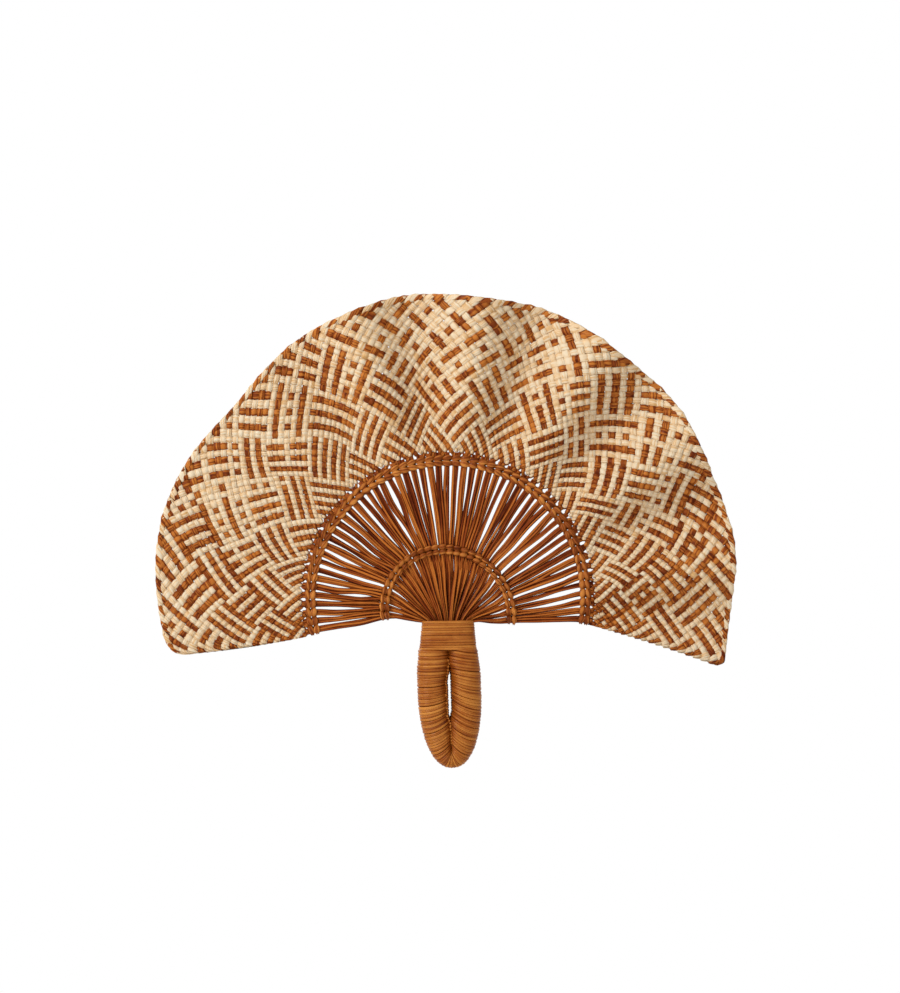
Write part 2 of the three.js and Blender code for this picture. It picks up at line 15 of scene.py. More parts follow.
import bpy
import numpy as np
from numpy.typing import NDArray
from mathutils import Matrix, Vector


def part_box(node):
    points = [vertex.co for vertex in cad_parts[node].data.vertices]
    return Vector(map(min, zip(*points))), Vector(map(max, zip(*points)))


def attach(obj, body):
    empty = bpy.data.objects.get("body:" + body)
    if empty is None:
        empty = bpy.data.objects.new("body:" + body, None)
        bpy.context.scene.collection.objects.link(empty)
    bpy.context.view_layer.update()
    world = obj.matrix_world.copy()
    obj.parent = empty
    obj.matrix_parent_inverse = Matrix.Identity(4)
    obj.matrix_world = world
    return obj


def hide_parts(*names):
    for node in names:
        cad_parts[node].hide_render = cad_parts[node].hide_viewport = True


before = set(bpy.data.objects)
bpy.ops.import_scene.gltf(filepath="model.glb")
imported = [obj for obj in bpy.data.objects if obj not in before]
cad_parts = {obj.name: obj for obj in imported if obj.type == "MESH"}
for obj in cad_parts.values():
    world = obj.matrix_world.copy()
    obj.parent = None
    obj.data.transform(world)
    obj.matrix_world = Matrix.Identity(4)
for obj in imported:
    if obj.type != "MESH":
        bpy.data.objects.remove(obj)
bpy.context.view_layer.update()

Array = NDArray[np.float64]
Counts = NDArray[np.int64]
Surface = Callable[[Array, Array], Array]
Pair = tuple[float, float]
Triple = tuple[float, float, float]
Socket = bpy.types.NodeSocket
Feed = Socket | float | tuple[float, ...]

MM = 0.001
MM_PER_CM = 10.0
SEED = 41
BODY = "root"
STRIP_MAP = "strip"
BAKE_MAP = "OFBake"
# Attribute of each point's tone: random tone, with painted light and shade added on some parts
TONE = "tone"
log = logging.getLogger("palm_fan")

# Where the fan opens: its centre's rise over the collar, and the angles of its side edges at the band
FAN_RISE = 14.85
LEFT_ANGLE = 195.3
RIGHT_ANGLE = -10.9

# Section of a ribbon, in shares of its half width and half thickness: a lens with a soft flat top
LENS_ACROSS = np.array([-1.0, -0.7, 0.0, 0.7, 1.0, 0.7, 0.0, -0.7])
LENS_THICK = np.array([0.0, 0.74, 1.0, 0.74, 0.0, -0.74, -1.0, -0.74])

# Sides of a strand's oval section
TUBE_SIDES = 8

# The sines of a drift: their rates, over the rate of the longest, and their heights
DRIFT_RATES = np.array([1.0, 1.73, 2.91, 4.37])
DRIFT_HEIGHTS = np.array([0.45, 0.3, 0.2, 0.12])

# Layout of the two maps: fibre lanes from one ribbon to the next, and the free edge of a row for baking
LANES_APART = 3
LANE_MARGIN = 0.04


class Dye(Enum):
    """The two colours of palm strip in the plait."""

    CREAM = "cream"
    BROWN = "brown"


class Lean(Enum):
    """The two ways that the plait's strips lean, going out from the band."""

    LEFT = "left"
    RIGHT = "right"


def mix(start: Array | float, end: Array | float, share: Array | float) -> Array:
    """Straight mix from start, at share 0, to end, at share 1."""
    return np.asarray(start + (end - start) * np.asarray(share))


def smoothstep(value: Array | float, low: float, high: float) -> Array:
    """Eased step: 0 below low, 1 above high, and 3t^2 - 2t^3 of the way between them."""
    share = np.clip((np.asarray(value) - low) / (high - low), 0.0, 1.0)
    return share * share * (3 - 2 * share)


def signed_power(value: Array, power: Array | float) -> Array:
    """The power of the size, with the sign kept: below 1 it flattens a wave's tops."""
    return np.sign(value) * np.abs(value) ** power


def drift(place: Array, rng: np.random.Generator, height: float, length: float) -> Array:
    """A smooth random line about 0: four sines of falling length and random phase.

    Args:
        place: Places along the line.
        rng: Source of the phases.
        height: About how far the line gets off 0.
        length: Longest wave.

    Returns:
        The line's height at each place.
    """
    rates = 2 * np.pi / length * DRIFT_RATES
    phases = rng.uniform(0, 2 * np.pi, rates.size)
    return height * (np.sin(np.asarray(place)[..., None] * rates + phases) @ DRIFT_HEIGHTS)


def rounded_ends(place: Array, length: float, blunt: float) -> Array:
    """Share of its full width that a strip has along its length: the root of the way in from the nearer end.

    Args:
        place: Places along the strip, from one end to the other.
        length: Length over which an end gets its full width.
        blunt: Square of the share that an end starts with.

    Returns:
        A share from 0 to 1 for each place.
    """
    inside = np.minimum(place - place[0], place[-1] - place)
    return np.sqrt(np.clip(inside / length + blunt, 0, 1))


def unit(vectors: Array) -> Array:
    """Each vector at length 1."""
    return vectors / np.maximum(np.linalg.norm(vectors, axis=-1, keepdims=True), 1e-12)


def lengths_along(points: Array) -> Array:
    """Distance walked along a line of points, from 0 at the first."""
    steps = np.linalg.norm(np.diff(points, axis=0), axis=1)
    return np.concatenate([[0.0], np.cumsum(steps)])


def lifted(surface: Surface, p: Array, q: Array, lift: Array | float) -> Array:
    """Points off a surface: its point plus lift times its unit normal, which is dp cross dq by differences.

    Args:
        surface: Function of two parameters.
        p: First parameter.
        q: Second parameter.
        lift: Distance along the normal.

    Returns:
        Points, one for each parameter pair.
    """
    step = 1e-3
    along_p = surface(p + step, q) - surface(p - step, q)
    along_q = surface(p, q + step) - surface(p, q - step)
    return surface(p, q) + unit(np.cross(along_p, along_q)) * np.asarray(lift)[..., None]


def smooth_course(points: Array, samples: int) -> Array:
    """A cubic curve through points: each slope is the chord between its neighbours, over the walk along it.

    Args:
        points: Points that the curve passes.
        samples: Points wanted.

    Returns:
        Points at even steps of the walk.
    """
    walk = lengths_along(points)
    slopes = np.gradient(points, walk, axis=0)
    at = np.linspace(0, walk[-1], samples)
    left = np.clip(np.searchsorted(walk, at, side="right") - 1, 0, len(walk) - 2)
    span = (walk[left + 1] - walk[left])[:, None]
    t = (at - walk[left])[:, None] / span
    return (
        (2 * t**3 - 3 * t**2 + 1) * points[left]
        + (t**3 - 2 * t**2 + t) * span * slopes[left]
        + (3 * t**2 - 2 * t**3) * points[left + 1]
        + (t**3 - t**2) * span * slopes[left + 1]
    )


def between(places: Array, at: Array, points: Array) -> Array:
    """Points of a line between given ones, by straight steps.

    Args:
        places: Places along the line.
        at: Places of the given points.
        points: The given points.

    Returns:
        One point for each place.
    """
    return np.stack([np.interp(places, at, points[:, axis]) for axis in range(3)], axis=-1)


def tube(
    line: Array, half_width: Array | float, half_thick: Array | float, across: Array | None = None
) -> Array:
    """Rings of an oval section carried along a line in the fan's plane.

    The section lies across the line: its width along the given direction, or square to the line in the fan's
    plane, and its thickness square to both.

    Args:
        line: Points of the line.
        half_width: Half of the oval's width, one number or one for each point.
        half_thick: Half of its thickness, likewise.
        across: Direction of the width at each point.

    Returns:
        Rings of points.
    """
    along = unit(np.gradient(line, axis=0))
    wanted = np.cross(np.array([0.0, 1.0, 0.0]), along) if across is None else across
    normal = unit(np.cross(along, wanted))
    wide = np.cross(normal, along)
    turn = np.linspace(0, 2 * np.pi, TUBE_SIDES, endpoint=False)
    reach = np.broadcast_to(np.asarray(half_width), len(line))[:, None] * np.cos(turn)
    depth = np.broadcast_to(np.asarray(half_thick), len(line))[:, None] * np.sin(turn)
    return line[:, None] + reach[..., None] * wide[:, None] + depth[..., None] * normal[:, None]


def polar(centre_z: float, radius: Array | float, angle: Array | float, y: Array | float = 0.0) -> Array:
    """Points of the fan's plane, or off it, by radius and angle.

    Args:
        centre_z: Height of the centre.
        radius: Distance from the centre.
        angle: Angle in radians, from +X towards +Z.
        y: Depth of the points.

    Returns:
        Points.
    """
    x = radius * np.cos(angle)
    z = centre_z + radius * np.sin(angle)
    return np.stack(np.broadcast_arrays(x, y, z), axis=-1)


def node_box(node: str) -> tuple[Array, Array]:
    """Lowest and highest corner of a solid of the frame, in millimetres."""
    low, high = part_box(node)
    return np.array(low) / MM, np.array(high) / MM


def collar_top() -> float:
    """Height of the collar's top, where the ribs come out."""
    return float(node_box("collar_winding")[1][2])


def grid_mesh(name: str, points: Array, quads: Counts) -> bpy.types.Mesh:
    """A smooth mesh of four-cornered faces.

    Args:
        name: Name of the mesh.
        points: Points in millimetres.
        quads: Four point numbers for each face.

    Returns:
        The mesh, in metres.
    """
    mesh = bpy.data.meshes.new(name)
    mesh.vertices.add(len(points))
    mesh.vertices.foreach_set("co", (points * MM).ravel())
    mesh.loops.add(quads.size)
    mesh.loops.foreach_set("vertex_index", quads.ravel())
    mesh.polygons.add(len(quads))
    mesh.polygons.foreach_set("loop_start", np.arange(len(quads)) * 4)
    mesh.polygons.foreach_set("use_smooth", np.ones(len(quads), dtype=bool))
    mesh.update(calc_edges=True)
    mesh.validate()
    return mesh


def put_map(mesh: bpy.types.Mesh, name: str, places: Array) -> None:
    """Adds a UV map with one place for each corner of each face."""
    layer = mesh.uv_layers.new(name=name)
    layer.uv.foreach_set("vector", places.astype(np.float32).ravel())


def put_in_scene(name: str, data: bpy.types.ID) -> bpy.types.Object:
    """Makes an object of a mesh, a lamp or a camera, and puts it into the scene.

    Args:
        name: Name of the object.
        data: What it shows.

    Returns:
        The object, at the origin.
    """
    thing = bpy.data.objects.new(name, data)
    bpy.context.scene.collection.objects.link(thing)
    return thing


@dataclass
class NodeMaker:
    """Adds nodes to the tree of a material or of the world, and wires them up."""

    tree: bpy.types.NodeTree

    def feed(self, node: bpy.types.Node, inputs: dict[str | int, Feed]) -> None:
        """Links inputs of a node to the outputs of others, or sets them to constants.

        Args:
            node: The node.
            inputs: An output or a constant for each input, by its name or number.
        """
        for key, value in inputs.items():
            if isinstance(value, Socket):
                self.tree.links.new(value, node.inputs[key])
            else:
                node.inputs[key].default_value = value

    def add(self, kind: str, inputs: dict[str | int, Feed] | None = None) -> bpy.types.Node:
        """Adds a node and feeds it.

        Args:
            kind: Kind of node, without the ShaderNode that its full name starts with.
            inputs: An output or a constant for each input.

        Returns:
            The node.
        """
        node = self.tree.nodes.new(f"ShaderNode{kind}")
        self.feed(node, inputs or {})
        return node

    def math(self, operation: str, *values: Feed) -> Socket:
        """Adds a node that does sums.

        Args:
            operation: What it does.
            values: What it does it with, in order.

        Returns:
            The result's socket.
        """
        node = self.add("Math")
        node.operation = operation
        self.feed(node, dict(enumerate(values)))
        return node.outputs["Value"]

    def strip_place(self) -> Socket:
        """Adds a node for the place on the fibre map.

        Returns:
            The place's socket.
        """
        node = self.add("UVMap")
        node.uv_map = STRIP_MAP
        return node.outputs["UV"]

    def seen_rays(self) -> Socket:
        """Adds nodes that tell the rays that see the white background from those that light the object.

        Returns:
            A socket with 1 for rays from the camera, mirrors and glass, and 0 for the others.
        """
        path = self.add("LightPath").outputs
        mirrored = self.math("MAXIMUM", path["Is Camera Ray"], path["Is Glossy Ray"])
        return self.math("MAXIMUM", mirrored, path["Is Transmission Ray"])


@dataclass(frozen=True)
class PalmFinish:
    """Dried palm leaf: lengthwise fibres over a colour that changes from strip to strip and in soft patches.

    The shade goes from deep over body to light, and a share says how much a thing moves it. Fibres and
    creases are counted round the strip. The fibres' length and the relief's depth are millimetres. A crease's
    width is in parts of its noise, and that of the painted edge shade in turns round the strip. The edge
    shade is painted shade that darkens each strip's edges, where its rounded sides turn from the light and
    the grooves between strips lie. Sheen is the specular level.
    """

    name: str
    deep: Triple
    body: Triple
    light: Triple
    fibres: float
    fibre_length: float
    tone_share: float
    creases: float
    # Painted shade at the strips' edges: its width and its share
    edge_shade_width: float
    edge_shade_share: float
    sheen: float
    relief: float
    fibre_share: float = 0.5
    patch_share: float = 0.4
    crease_width: float = 0.12
    crease_share: float = 0.6
    dull: float = 0.5
    glossy: float = 0.32
    gloss_fibres: Pair = (0.3, 0.7)
    fibre_detail: float = 3.0
    fibre_roughness: float = 0.6
    fibre_relief: float = 0.6
    crease_stretch: float = 4.0
    relief_depth: float = 0.25
    patch_scale: float = 140.0
    patch_detail: float = 2.0
    plain_level: float = 0.5
    quarter_turn: float = 0.25

    def material(self) -> bpy.types.Material:
        """The finish as a material, made once."""
        return bpy.data.materials.get(self.name) or self.make()

    def make(self) -> bpy.types.Material:
        """Builds the node tree.

        Fibre, tone, patch, crease and the painted shade at the edges add up to the shade that picks the
        colour.
        Fibres and creases also stand out in relief, and the fibres set the gloss.

        Returns:
            The new material.
        """
        material = bpy.data.materials.new(self.name)
        material.use_nodes = True
        maker = NodeMaker(material.node_tree)
        fibre = self.streaks(maker, self.fibre_length, self.fibres, self.fibre_detail)
        crease = self.creases_in(maker)
        colour = maker.add("ValToRGB", {"Fac": self.shade(maker, fibre, crease)})
        colour.color_ramp.elements.new(self.plain_level)
        for stop, shade in zip(colour.color_ramp.elements, (self.deep, self.body, self.light)):
            stop.color = (*shade, 1.0)
        gloss = maker.add("MapRange", {
            "Value": fibre,
            "From Min": self.gloss_fibres[0],
            "From Max": self.gloss_fibres[1],
            "To Min": self.dull,
            "To Max": self.glossy,
        })
        bump = maker.add("Bump", {
            "Height": maker.math("MULTIPLY_ADD", fibre, self.fibre_relief, crease),
            "Strength": self.relief,
            "Distance": self.relief_depth * MM,
        })
        maker.feed(material.node_tree.nodes["Principled BSDF"], {
            "Base Color": colour.outputs["Color"],
            "Roughness": gloss.outputs["Result"],
            "Specular IOR Level": self.sheen,
            "Normal": bump.outputs["Normal"],
        })
        return material

    def streaks(self, maker: NodeMaker, length: float, count: float, detail: float) -> Socket:
        """Noise drawn out along the strip on its fibre map.

        Args:
            maker: Maker of the material's nodes.
            length: Length of a streak.
            count: Streaks in one turn round the strip.
            detail: Finer octaves of the noise.

        Returns:
            The noise's socket.
        """
        scale = (MM_PER_CM / length, count, 1.0)
        stretch = maker.add("Mapping", {"Vector": maker.strip_place(), "Scale": scale})
        noise = maker.add("TexNoise", {
            "Vector": stretch.outputs["Vector"],
            "Scale": 1.0,
            "Detail": detail,
            "Roughness": self.fibre_roughness,
        })
        return noise.outputs["Fac"]

    def creases_in(self, maker: NodeMaker) -> Socket:
        """Creases of the leaf: 0 on the lines where a slow noise passes its middle, and 1 beside them.

        Args:
            maker: Maker of the material's nodes.

        Returns:
            The creases' socket.
        """
        noise = self.streaks(maker, self.crease_stretch * self.fibre_length, self.creases, 0.0)
        off_middle = maker.math("SUBTRACT", noise, self.plain_level)
        return self.line(maker, maker.math("ABSOLUTE", off_middle), self.crease_width)

    def painted_edge_shade(self, maker: NodeMaker) -> Socket:
        """Painted shade at the strip's edges: 0 on them, at each half turn of the fibre map, and 1 in its
        middle.

        It darkens the edges where the rounded sides turn from the light and the grooves between strips lie.

        Args:
            maker: Maker of the material's nodes.

        Returns:
            The edges' socket.
        """
        lane = maker.add("SeparateXYZ", {"Vector": maker.strip_place()})
        inside = maker.math("PINGPONG", lane.outputs["Y"], self.quarter_turn)
        return self.line(maker, inside, self.edge_shade_width)

    def line(self, maker: NodeMaker, distance: Socket, width: float) -> Socket:
        """A soft line: 0 where a distance is 0, going over to 1 at the given width.

        Args:
            maker: Maker of the material's nodes.
            distance: Socket of the distance.
            width: Distance at which the line ends.

        Returns:
            The line's socket.
        """
        fade = maker.add("MapRange", {"Value": distance, "From Max": width})
        fade.interpolation_type = "SMOOTHSTEP"
        return fade.outputs["Result"]

    def shade(self, maker: NodeMaker, fibre: Socket, crease: Socket) -> Socket:
        """Shade from 0, deep, to 1, light: half way, plus each part's share of how far it is off its level.

        The level of the painted edge shade is 1, off the edge, and that of the others is half way.

        Args:
            maker: Maker of the material's nodes.
            fibre: Socket of the fibres.
            crease: Socket of the creases.

        Returns:
            The shade's socket.
        """
        tone = maker.add("Attribute")
        tone.attribute_name = TONE
        patch = maker.add("TexNoise", {
            "Vector": maker.add("TexCoord").outputs["Object"],
            "Scale": self.patch_scale,
            "Detail": self.patch_detail,
        })
        parts = (
            (fibre, self.fibre_share, self.plain_level),
            (tone.outputs["Fac"], self.tone_share, self.plain_level),
            (patch.outputs["Fac"], self.patch_share, self.plain_level),
            (crease, self.crease_share, self.plain_level),
            # Painted shade at the strips' edges, in the grooves between them
            (self.painted_edge_shade(maker), self.edge_shade_share, 1.0),
        )
        total: Feed = self.plain_level - sum(share * level for _, share, level in parts)
        for source, share, _ in parts:
            total = maker.math("MULTIPLY_ADD", source, share, total)
        return total


CREAM_LEAF = PalmFinish(
    name="cream_palm_strip",
    deep=(0.53, 0.29, 0.1),
    body=(0.69, 0.485, 0.283),
    light=(0.69, 0.582, 0.42),
    fibres=16.0,
    fibre_length=9.0,
    tone_share=0.4,
    patch_share=0.3,
    creases=7.0,
    edge_shade_width=0.08,
    edge_shade_share=0.3,
    dull=0.66,
    glossy=0.5,
    sheen=0.05,
    relief=0.6,
)
BROWN_LEAF = PalmFinish(
    name="brown_palm_strip",
    deep=(0.085, 0.011, 0.001),
    body=(0.225, 0.046, 0.006),
    light=(0.46, 0.15, 0.024),
    fibres=16.0,
    fibre_length=9.0,
    tone_share=0.6,
    creases=7.0,
    crease_share=0.7,
    edge_shade_width=0.1,
    edge_shade_share=0.4,
    dull=0.56,
    glossy=0.36,
    sheen=0.08,
    relief=0.7,
)
RIB_LEAF = PalmFinish(
    name="brown_rib_strand",
    deep=(0.05, 0.006, 0.001),
    body=(0.205, 0.037, 0.006),
    light=(0.44, 0.132, 0.021),
    fibres=7.0,
    fibre_length=40.0,
    tone_share=0.55,
    creases=3.0,
    edge_shade_width=0.2,
    edge_shade_share=0.8,
    sheen=0.04,
    relief=0.3,
)
WEFT_LEAF = PalmFinish(
    name="brown_weft_strand",
    deep=(0.09, 0.015, 0.001),
    body=(0.265, 0.063, 0.009),
    light=(0.52, 0.19, 0.036),
    fibres=8.0,
    fibre_length=20.0,
    tone_share=0.7,
    patch_share=0.5,
    creases=4.0,
    edge_shade_width=0.12,
    edge_shade_share=0.5,
    sheen=0.08,
    relief=0.4,
)
WRAP_LEAF = PalmFinish(
    name="brown_wrap_strip",
    deep=(0.1, 0.015, 0.001),
    body=(0.275, 0.068, 0.006),
    light=(0.5, 0.19, 0.032),
    fibres=7.0,
    fibre_length=36.0,
    fibre_share=0.4,
    tone_share=0.8,
    creases=3.0,
    crease_width=0.05,
    crease_share=0.4,
    edge_shade_width=0.14,
    edge_shade_share=0.65,
    sheen=0.13,
    relief=0.4,
)


@dataclass
class Ribbon:
    """One closed strip, strand or winding: rings of points carried along its length.

    The tone is one for the whole ribbon or one for each ring. The fold is how many rings go into a row of the
    bake map, or 0 for all of them.
    """

    rings: Array
    tone: Array | float
    fold: int = 0

    def quads(self) -> tuple[Counts, Counts, Counts]:
        """Faces between neighbouring rings, and ladders of faces over both ends.

        Returns:
            Vertex numbers of each face, and the ring and the side of each corner, where the side after the
            last counts on instead of going back to 0.
        """
        rows, sides, _ = self.rings.shape
        row, side = np.meshgrid(np.arange(rows - 1), np.arange(sides), indexing="ij")
        corner_row = np.stack([row, row, row + 1, row + 1], axis=-1).reshape(-1, 4)
        corner_side = np.stack([side, side + 1, side + 1, side], axis=-1).reshape(-1, 4)
        rung = np.arange(sides // 2 - 1)
        ladder = np.stack([rung, rung + 1, sides - rung - 2, sides - rung - 1], axis=-1)
        corner_row = np.concatenate([corner_row, np.zeros_like(ladder), np.full_like(ladder, rows - 1)])
        corner_side = np.concatenate([corner_side, ladder[:, ::-1], ladder])
        if self.inside_out(corner_row, corner_side):
            corner_row, corner_side = corner_row[:, ::-1], corner_side[:, ::-1]
        return corner_row * sides + corner_side % sides, corner_row, corner_side

    def inside_out(self, corner_row: Counts, corner_side: Counts) -> bool:
        """Tells faces that point inwards: the volume that they close in, summed from the origin, is negative.

        Args:
            corner_row: Ring of each corner.
            corner_side: Side of each corner.

        Returns:
            True if the faces point inwards.
        """
        sides = self.rings.shape[1]
        a, b, c, d = np.moveaxis(self.rings[corner_row, corner_side % sides], 1, 0)
        halves = np.einsum("ij,ij->i", a, np.cross(b, c)) + np.einsum("ij,ij->i", a, np.cross(c, d))
        return bool(halves.sum() < 0)

    def bake_rows(self) -> int:
        """How many rows of the bake map the ribbon fills, one for each fold of its length."""
        return math.ceil((len(self.rings) - 1) / self.fold_length())

    def fold_length(self) -> int:
        """Rings to a row of the bake map: all of them unless the ribbon folds."""
        return self.fold or len(self.rings) - 1

    def point_tones(self) -> Array:
        """Tone of each point: one for the whole ribbon, or its ring's own."""
        rows, sides, _ = self.rings.shape
        return np.repeat(np.broadcast_to(self.tone, rows), sides)


@dataclass
class RibbonPiece:
    """Ribbons of one finish, built as one object."""

    name: str
    finish: PalmFinish
    slot: str
    nodes: tuple[str, ...]
    ribbons: list[Ribbon] = field(default_factory=list)

    def maps_of(self, number: int, row: Counts, side: Counts) -> tuple[Array, Array]:
        """Each corner's place on the fibre map and on the bake map.

        The fibre map has the length in centimetres along it and the turn round the section across it, with
        each ribbon on lanes of its own. The bake map lays each fold of the ribbon out as a row of its own,
        with the section unrolled across the row.

        Args:
            number: Which of the ribbons the corners belong to.
            row: Ring of each corner.
            side: Side of each corner.

        Returns:
            The fibre map, and the bake map in rows counted from 0.
        """
        ribbon = self.ribbons[number]
        rows, sides, _ = ribbon.rings.shape
        walk = lengths_along(ribbon.rings.mean(axis=1)) / MM_PER_CM
        fibre = np.stack([walk[row], side / sides + LANES_APART * number], axis=-1)
        fold = ribbon.fold_length()
        first = row.min(axis=1, keepdims=True)
        is_cap = row.max(axis=1, keepdims=True) == first
        turn = np.minimum(first, rows - 2) // fold
        lane = np.where(is_cap, np.minimum(side, sides - 1 - side) + 0.5, side) / sides
        outwards = np.where(first == 0, -1.0, 1.0) * (is_cap & (side >= sides // 2))
        along = (row - turn * fold + outwards + 1) / (fold + 2)
        return fibre, np.stack([along, turn + mix(LANE_MARGIN, 1 - LANE_MARGIN, lane)], axis=-1)

    def build(self) -> None:
        """Joins the ribbons into one mesh, dresses it and hangs it on the frame."""
        points, faces, fibre, bake, tones = [], [], [], [], []
        first_point, first_row = 0, 0
        for number, ribbon in enumerate(self.ribbons):
            quads, row, side = ribbon.quads()
            on_fibre, on_bake = self.maps_of(number, row, side)
            points.append(ribbon.rings.reshape(-1, 3))
            faces.append(quads + first_point)
            fibre.append(on_fibre)
            bake.append(on_bake + (0, first_row))
            tones.append(ribbon.point_tones())
            first_point += points[-1].shape[0]
            first_row += ribbon.bake_rows()
        mesh = grid_mesh(self.name, np.concatenate(points), np.concatenate(faces))
        put_map(mesh, STRIP_MAP, np.concatenate(fibre))
        put_map(mesh, BAKE_MAP, np.concatenate(bake) / (1, first_row))
        tone = mesh.attributes.new(TONE, "FLOAT", "POINT")
        tone.data.foreach_set("value", np.concatenate(tones))
        mesh.materials.append(self.finish.material())
        piece = put_in_scene(self.name, mesh)
        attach(piece, BODY)
        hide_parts(*self.nodes)
        log.info("%s: %d ribbons, %d faces", self.name, len(self.ribbons), len(mesh.polygons))


@dataclass(frozen=True)
class StripMake:
    """How the plait's strips of one dye are cut.

    The width is in strips of the plait, the neck is the share of it that is left at the band, and the start
    is the first row.
    """

    finish: PalmFinish
    width: float
    neck: float
    start: float


STRIP_MAKES = {
    Dye.CREAM: StripMake(finish=CREAM_LEAF, width=1.06, neck=0.5, start=-0.3),
    Dye.BROWN: StripMake(finish=BROWN_LEAF, width=1.08, neck=0.75, start=-2.2),
}


@dataclass(frozen=True)
class Bell:
    """A bulge of the rim, or a dent if its height is below 0, with its middle and its spread in degrees."""

    height: float
    middle: float
    spread: float

    def at(self, angle: Array) -> Array:
        """Height at an angle: a bell curve, exp of minus the squared distance over the spread."""
        return self.height * np.exp(-(((angle - self.middle) / self.spread) ** 2))


@dataclass
class PlaitedBlade:
    """The half-round plait: two sets of strips that lean left and right and pass over one, under one.

    A place on the blade is a pair: centre counts strips from the left end to the right, and row counts the
    crossings from the band outwards. A drift is a pair of a height and a length in rows. An end is a pair of
    the length over which a strip gets its full width and of its bluntness.
    """

    # Outline, with angles in degrees
    inner_radius: float = 102.35
    side_radius: float = 197.2
    crown: float = 12.5
    twist: float = 3.1
    ripple_height: float = 1.2
    ripple_period: float = 28.5
    ripple_dip: float = 55.0
    shoulder: Bell = Bell(height=-7.5, middle=136.0, spread=13.0)
    cheek: Bell = Bell(height=4.5, middle=170.0, spread=18.0)
    right_corner: float = 6.0
    left_corner: float = 12.0

    # Ruffles, with angles in degrees
    wave_height: float = 8.5
    wave_height_left: float = 2.0
    wave_fade: Pair = (95.0, 150.0)
    wave_period: float = 25.5
    wave_ridge: float = 84.0
    wave_rise_power: float = 4.0

    # Weave, in strips and rows: a sine of the sway has a rate across, a rate along the way out, and a phase
    blocks: tuple[int, ...] = (3, 6, 7, 7, 9, 7, 7, 7, 7, 7, 7, 5, 7, 5, 6, 3)
    rows: float = 34.0
    row_growth: float = 0.14
    sway: float = 0.2
    sway_sines: tuple[Triple, ...] = ((0.31, 5.0, 0.0), (0.13, -9.0, 1.0), (0.57, 0.0, 2.0))
    sway_margin: float = 8.0
    side_start: float = -1.2
    side_end: float = 1.3
    rim_end: float = 0.2

    # Brown strips that are pieced on with cream
    pale_span: Pair = (34.0, 64.0)
    pale_row: int = 15
    pale_place: int = 3
    pieced_row: int = 11
    pieced_share: float = 0.1
    pieced_steps: int = 4
    shortest_tail: float = 2.0
    splice: float = 0.3

    # One strip: its samples are rings for each row
    samples: int = 5
    fewest_rings: int = 3
    crossing_lift: float = 1.2
    lift_power: float = 0.8
    lift_drift: Pair = (0.2, 7.0)
    puff: float = 1.0
    barrel: float = 0.12
    width_spread: float = 0.08
    width_drift: Pair = (0.07, 5.0)
    neck_rows: Pair = (-1.4, 0.5)
    course_drift: Pair = (0.08, 8.0)
    strip_end: Pair = (0.4, 0.12)
    strip_thickness: float = 0.75
    thinned_end: float = 0.75
    tone_range: Pair = (0.25, 0.75)
    tone_drift: Pair = (0.35, 2.3)
    # Painted light and shade: a strip is lighter on its crests and darker where it dips under the strips it
    # crosses
    crest_light_dip_shade: float = 0.3

    # One fold of the rim: its reach is in half turns, and its end is in radians of the turn round the rim.
    # Its half widths, at its ends and on the rim, its place, margin and slant are in strips
    fold_reach: float = 0.86
    fold_rings: int = 15
    fold_end: Pair = (0.5, 0.08 * math.pi)
    fold_half: Pair = (0.4, 0.66)
    fold_half_spread: float = 0.1
    fold_place_spread: float = 0.15
    fold_margin: float = 0.05
    fold_slant: float = 0.8
    fold_depth: float = 3.8
    fold_depth_spread: float = 0.8
    fold_bulge: float = 0.8
    fold_bulge_spread: float = 0.6
    fold_clearance: float = 0.003
    fold_lift: float = 1.1
    fold_thickness: float = 0.8
    pieces: dict[str, RibbonPiece] = field(default_factory=dict)

    def __post_init__(self) -> None:
        """Takes the centre from the frame and works out the strip pitch and the order of the two dyes.

        The dyes take turns, except between blocks.
        """
        self.centre_z = collar_top() + FAN_RISE
        self.strips = sum(self.blocks)
        self.pitch = (LEFT_ANGLE - RIGHT_ANGLE) / self.strips
        self.rng = np.random.default_rng(SEED)
        self.places = [size - 1 - place for size in self.blocks for place in range(size)]
        changes = np.cumsum([place > 0 for place in self.places])
        self.dyes = [Dye.CREAM if change % 2 else Dye.BROWN for change in (0, *changes[:-1])]

    def source(self, lean: Lean, index: int) -> int:
        """Which strip's dye a strip takes: the two sets run one strip apart.

        A strip that starts at a side edge is one of the other set, which came there and folded back.

        Args:
            lean: The strip's lean.
            index: Its number from the left, below 0 or past the last for one that starts at a side edge.

        Returns:
            Number in the order of dyes.
        """
        last = self.strips - 1
        if lean is Lean.LEFT:
            return index if index <= last else self.source(Lean.RIGHT, 2 * last + 1 - index)
        return min(index + 1, last) if index >= 0 else -1 - index

    def dye_of(self, lean: Lean, index: int) -> Dye:
        """Dye of a strip: cream and brown take turns, and a block starts with the dye that ends the last one.

        So two strips of a dye meet between blocks, and the stripes of the plait change their lean there.

        Args:
            lean: The strip's lean.
            index: Its number from the left.

        Returns:
            The dye.
        """
        return self.dyes[self.source(lean, index)]

    def corner_cut(self, from_edge: Array, radius: float) -> Array:
        """How much a round corner takes off the rim: radius less the circle's height, near the edge."""
        inside = np.clip(radius - np.maximum(from_edge, 0), 0, radius)
        return radius - np.sqrt(radius**2 - inside**2)

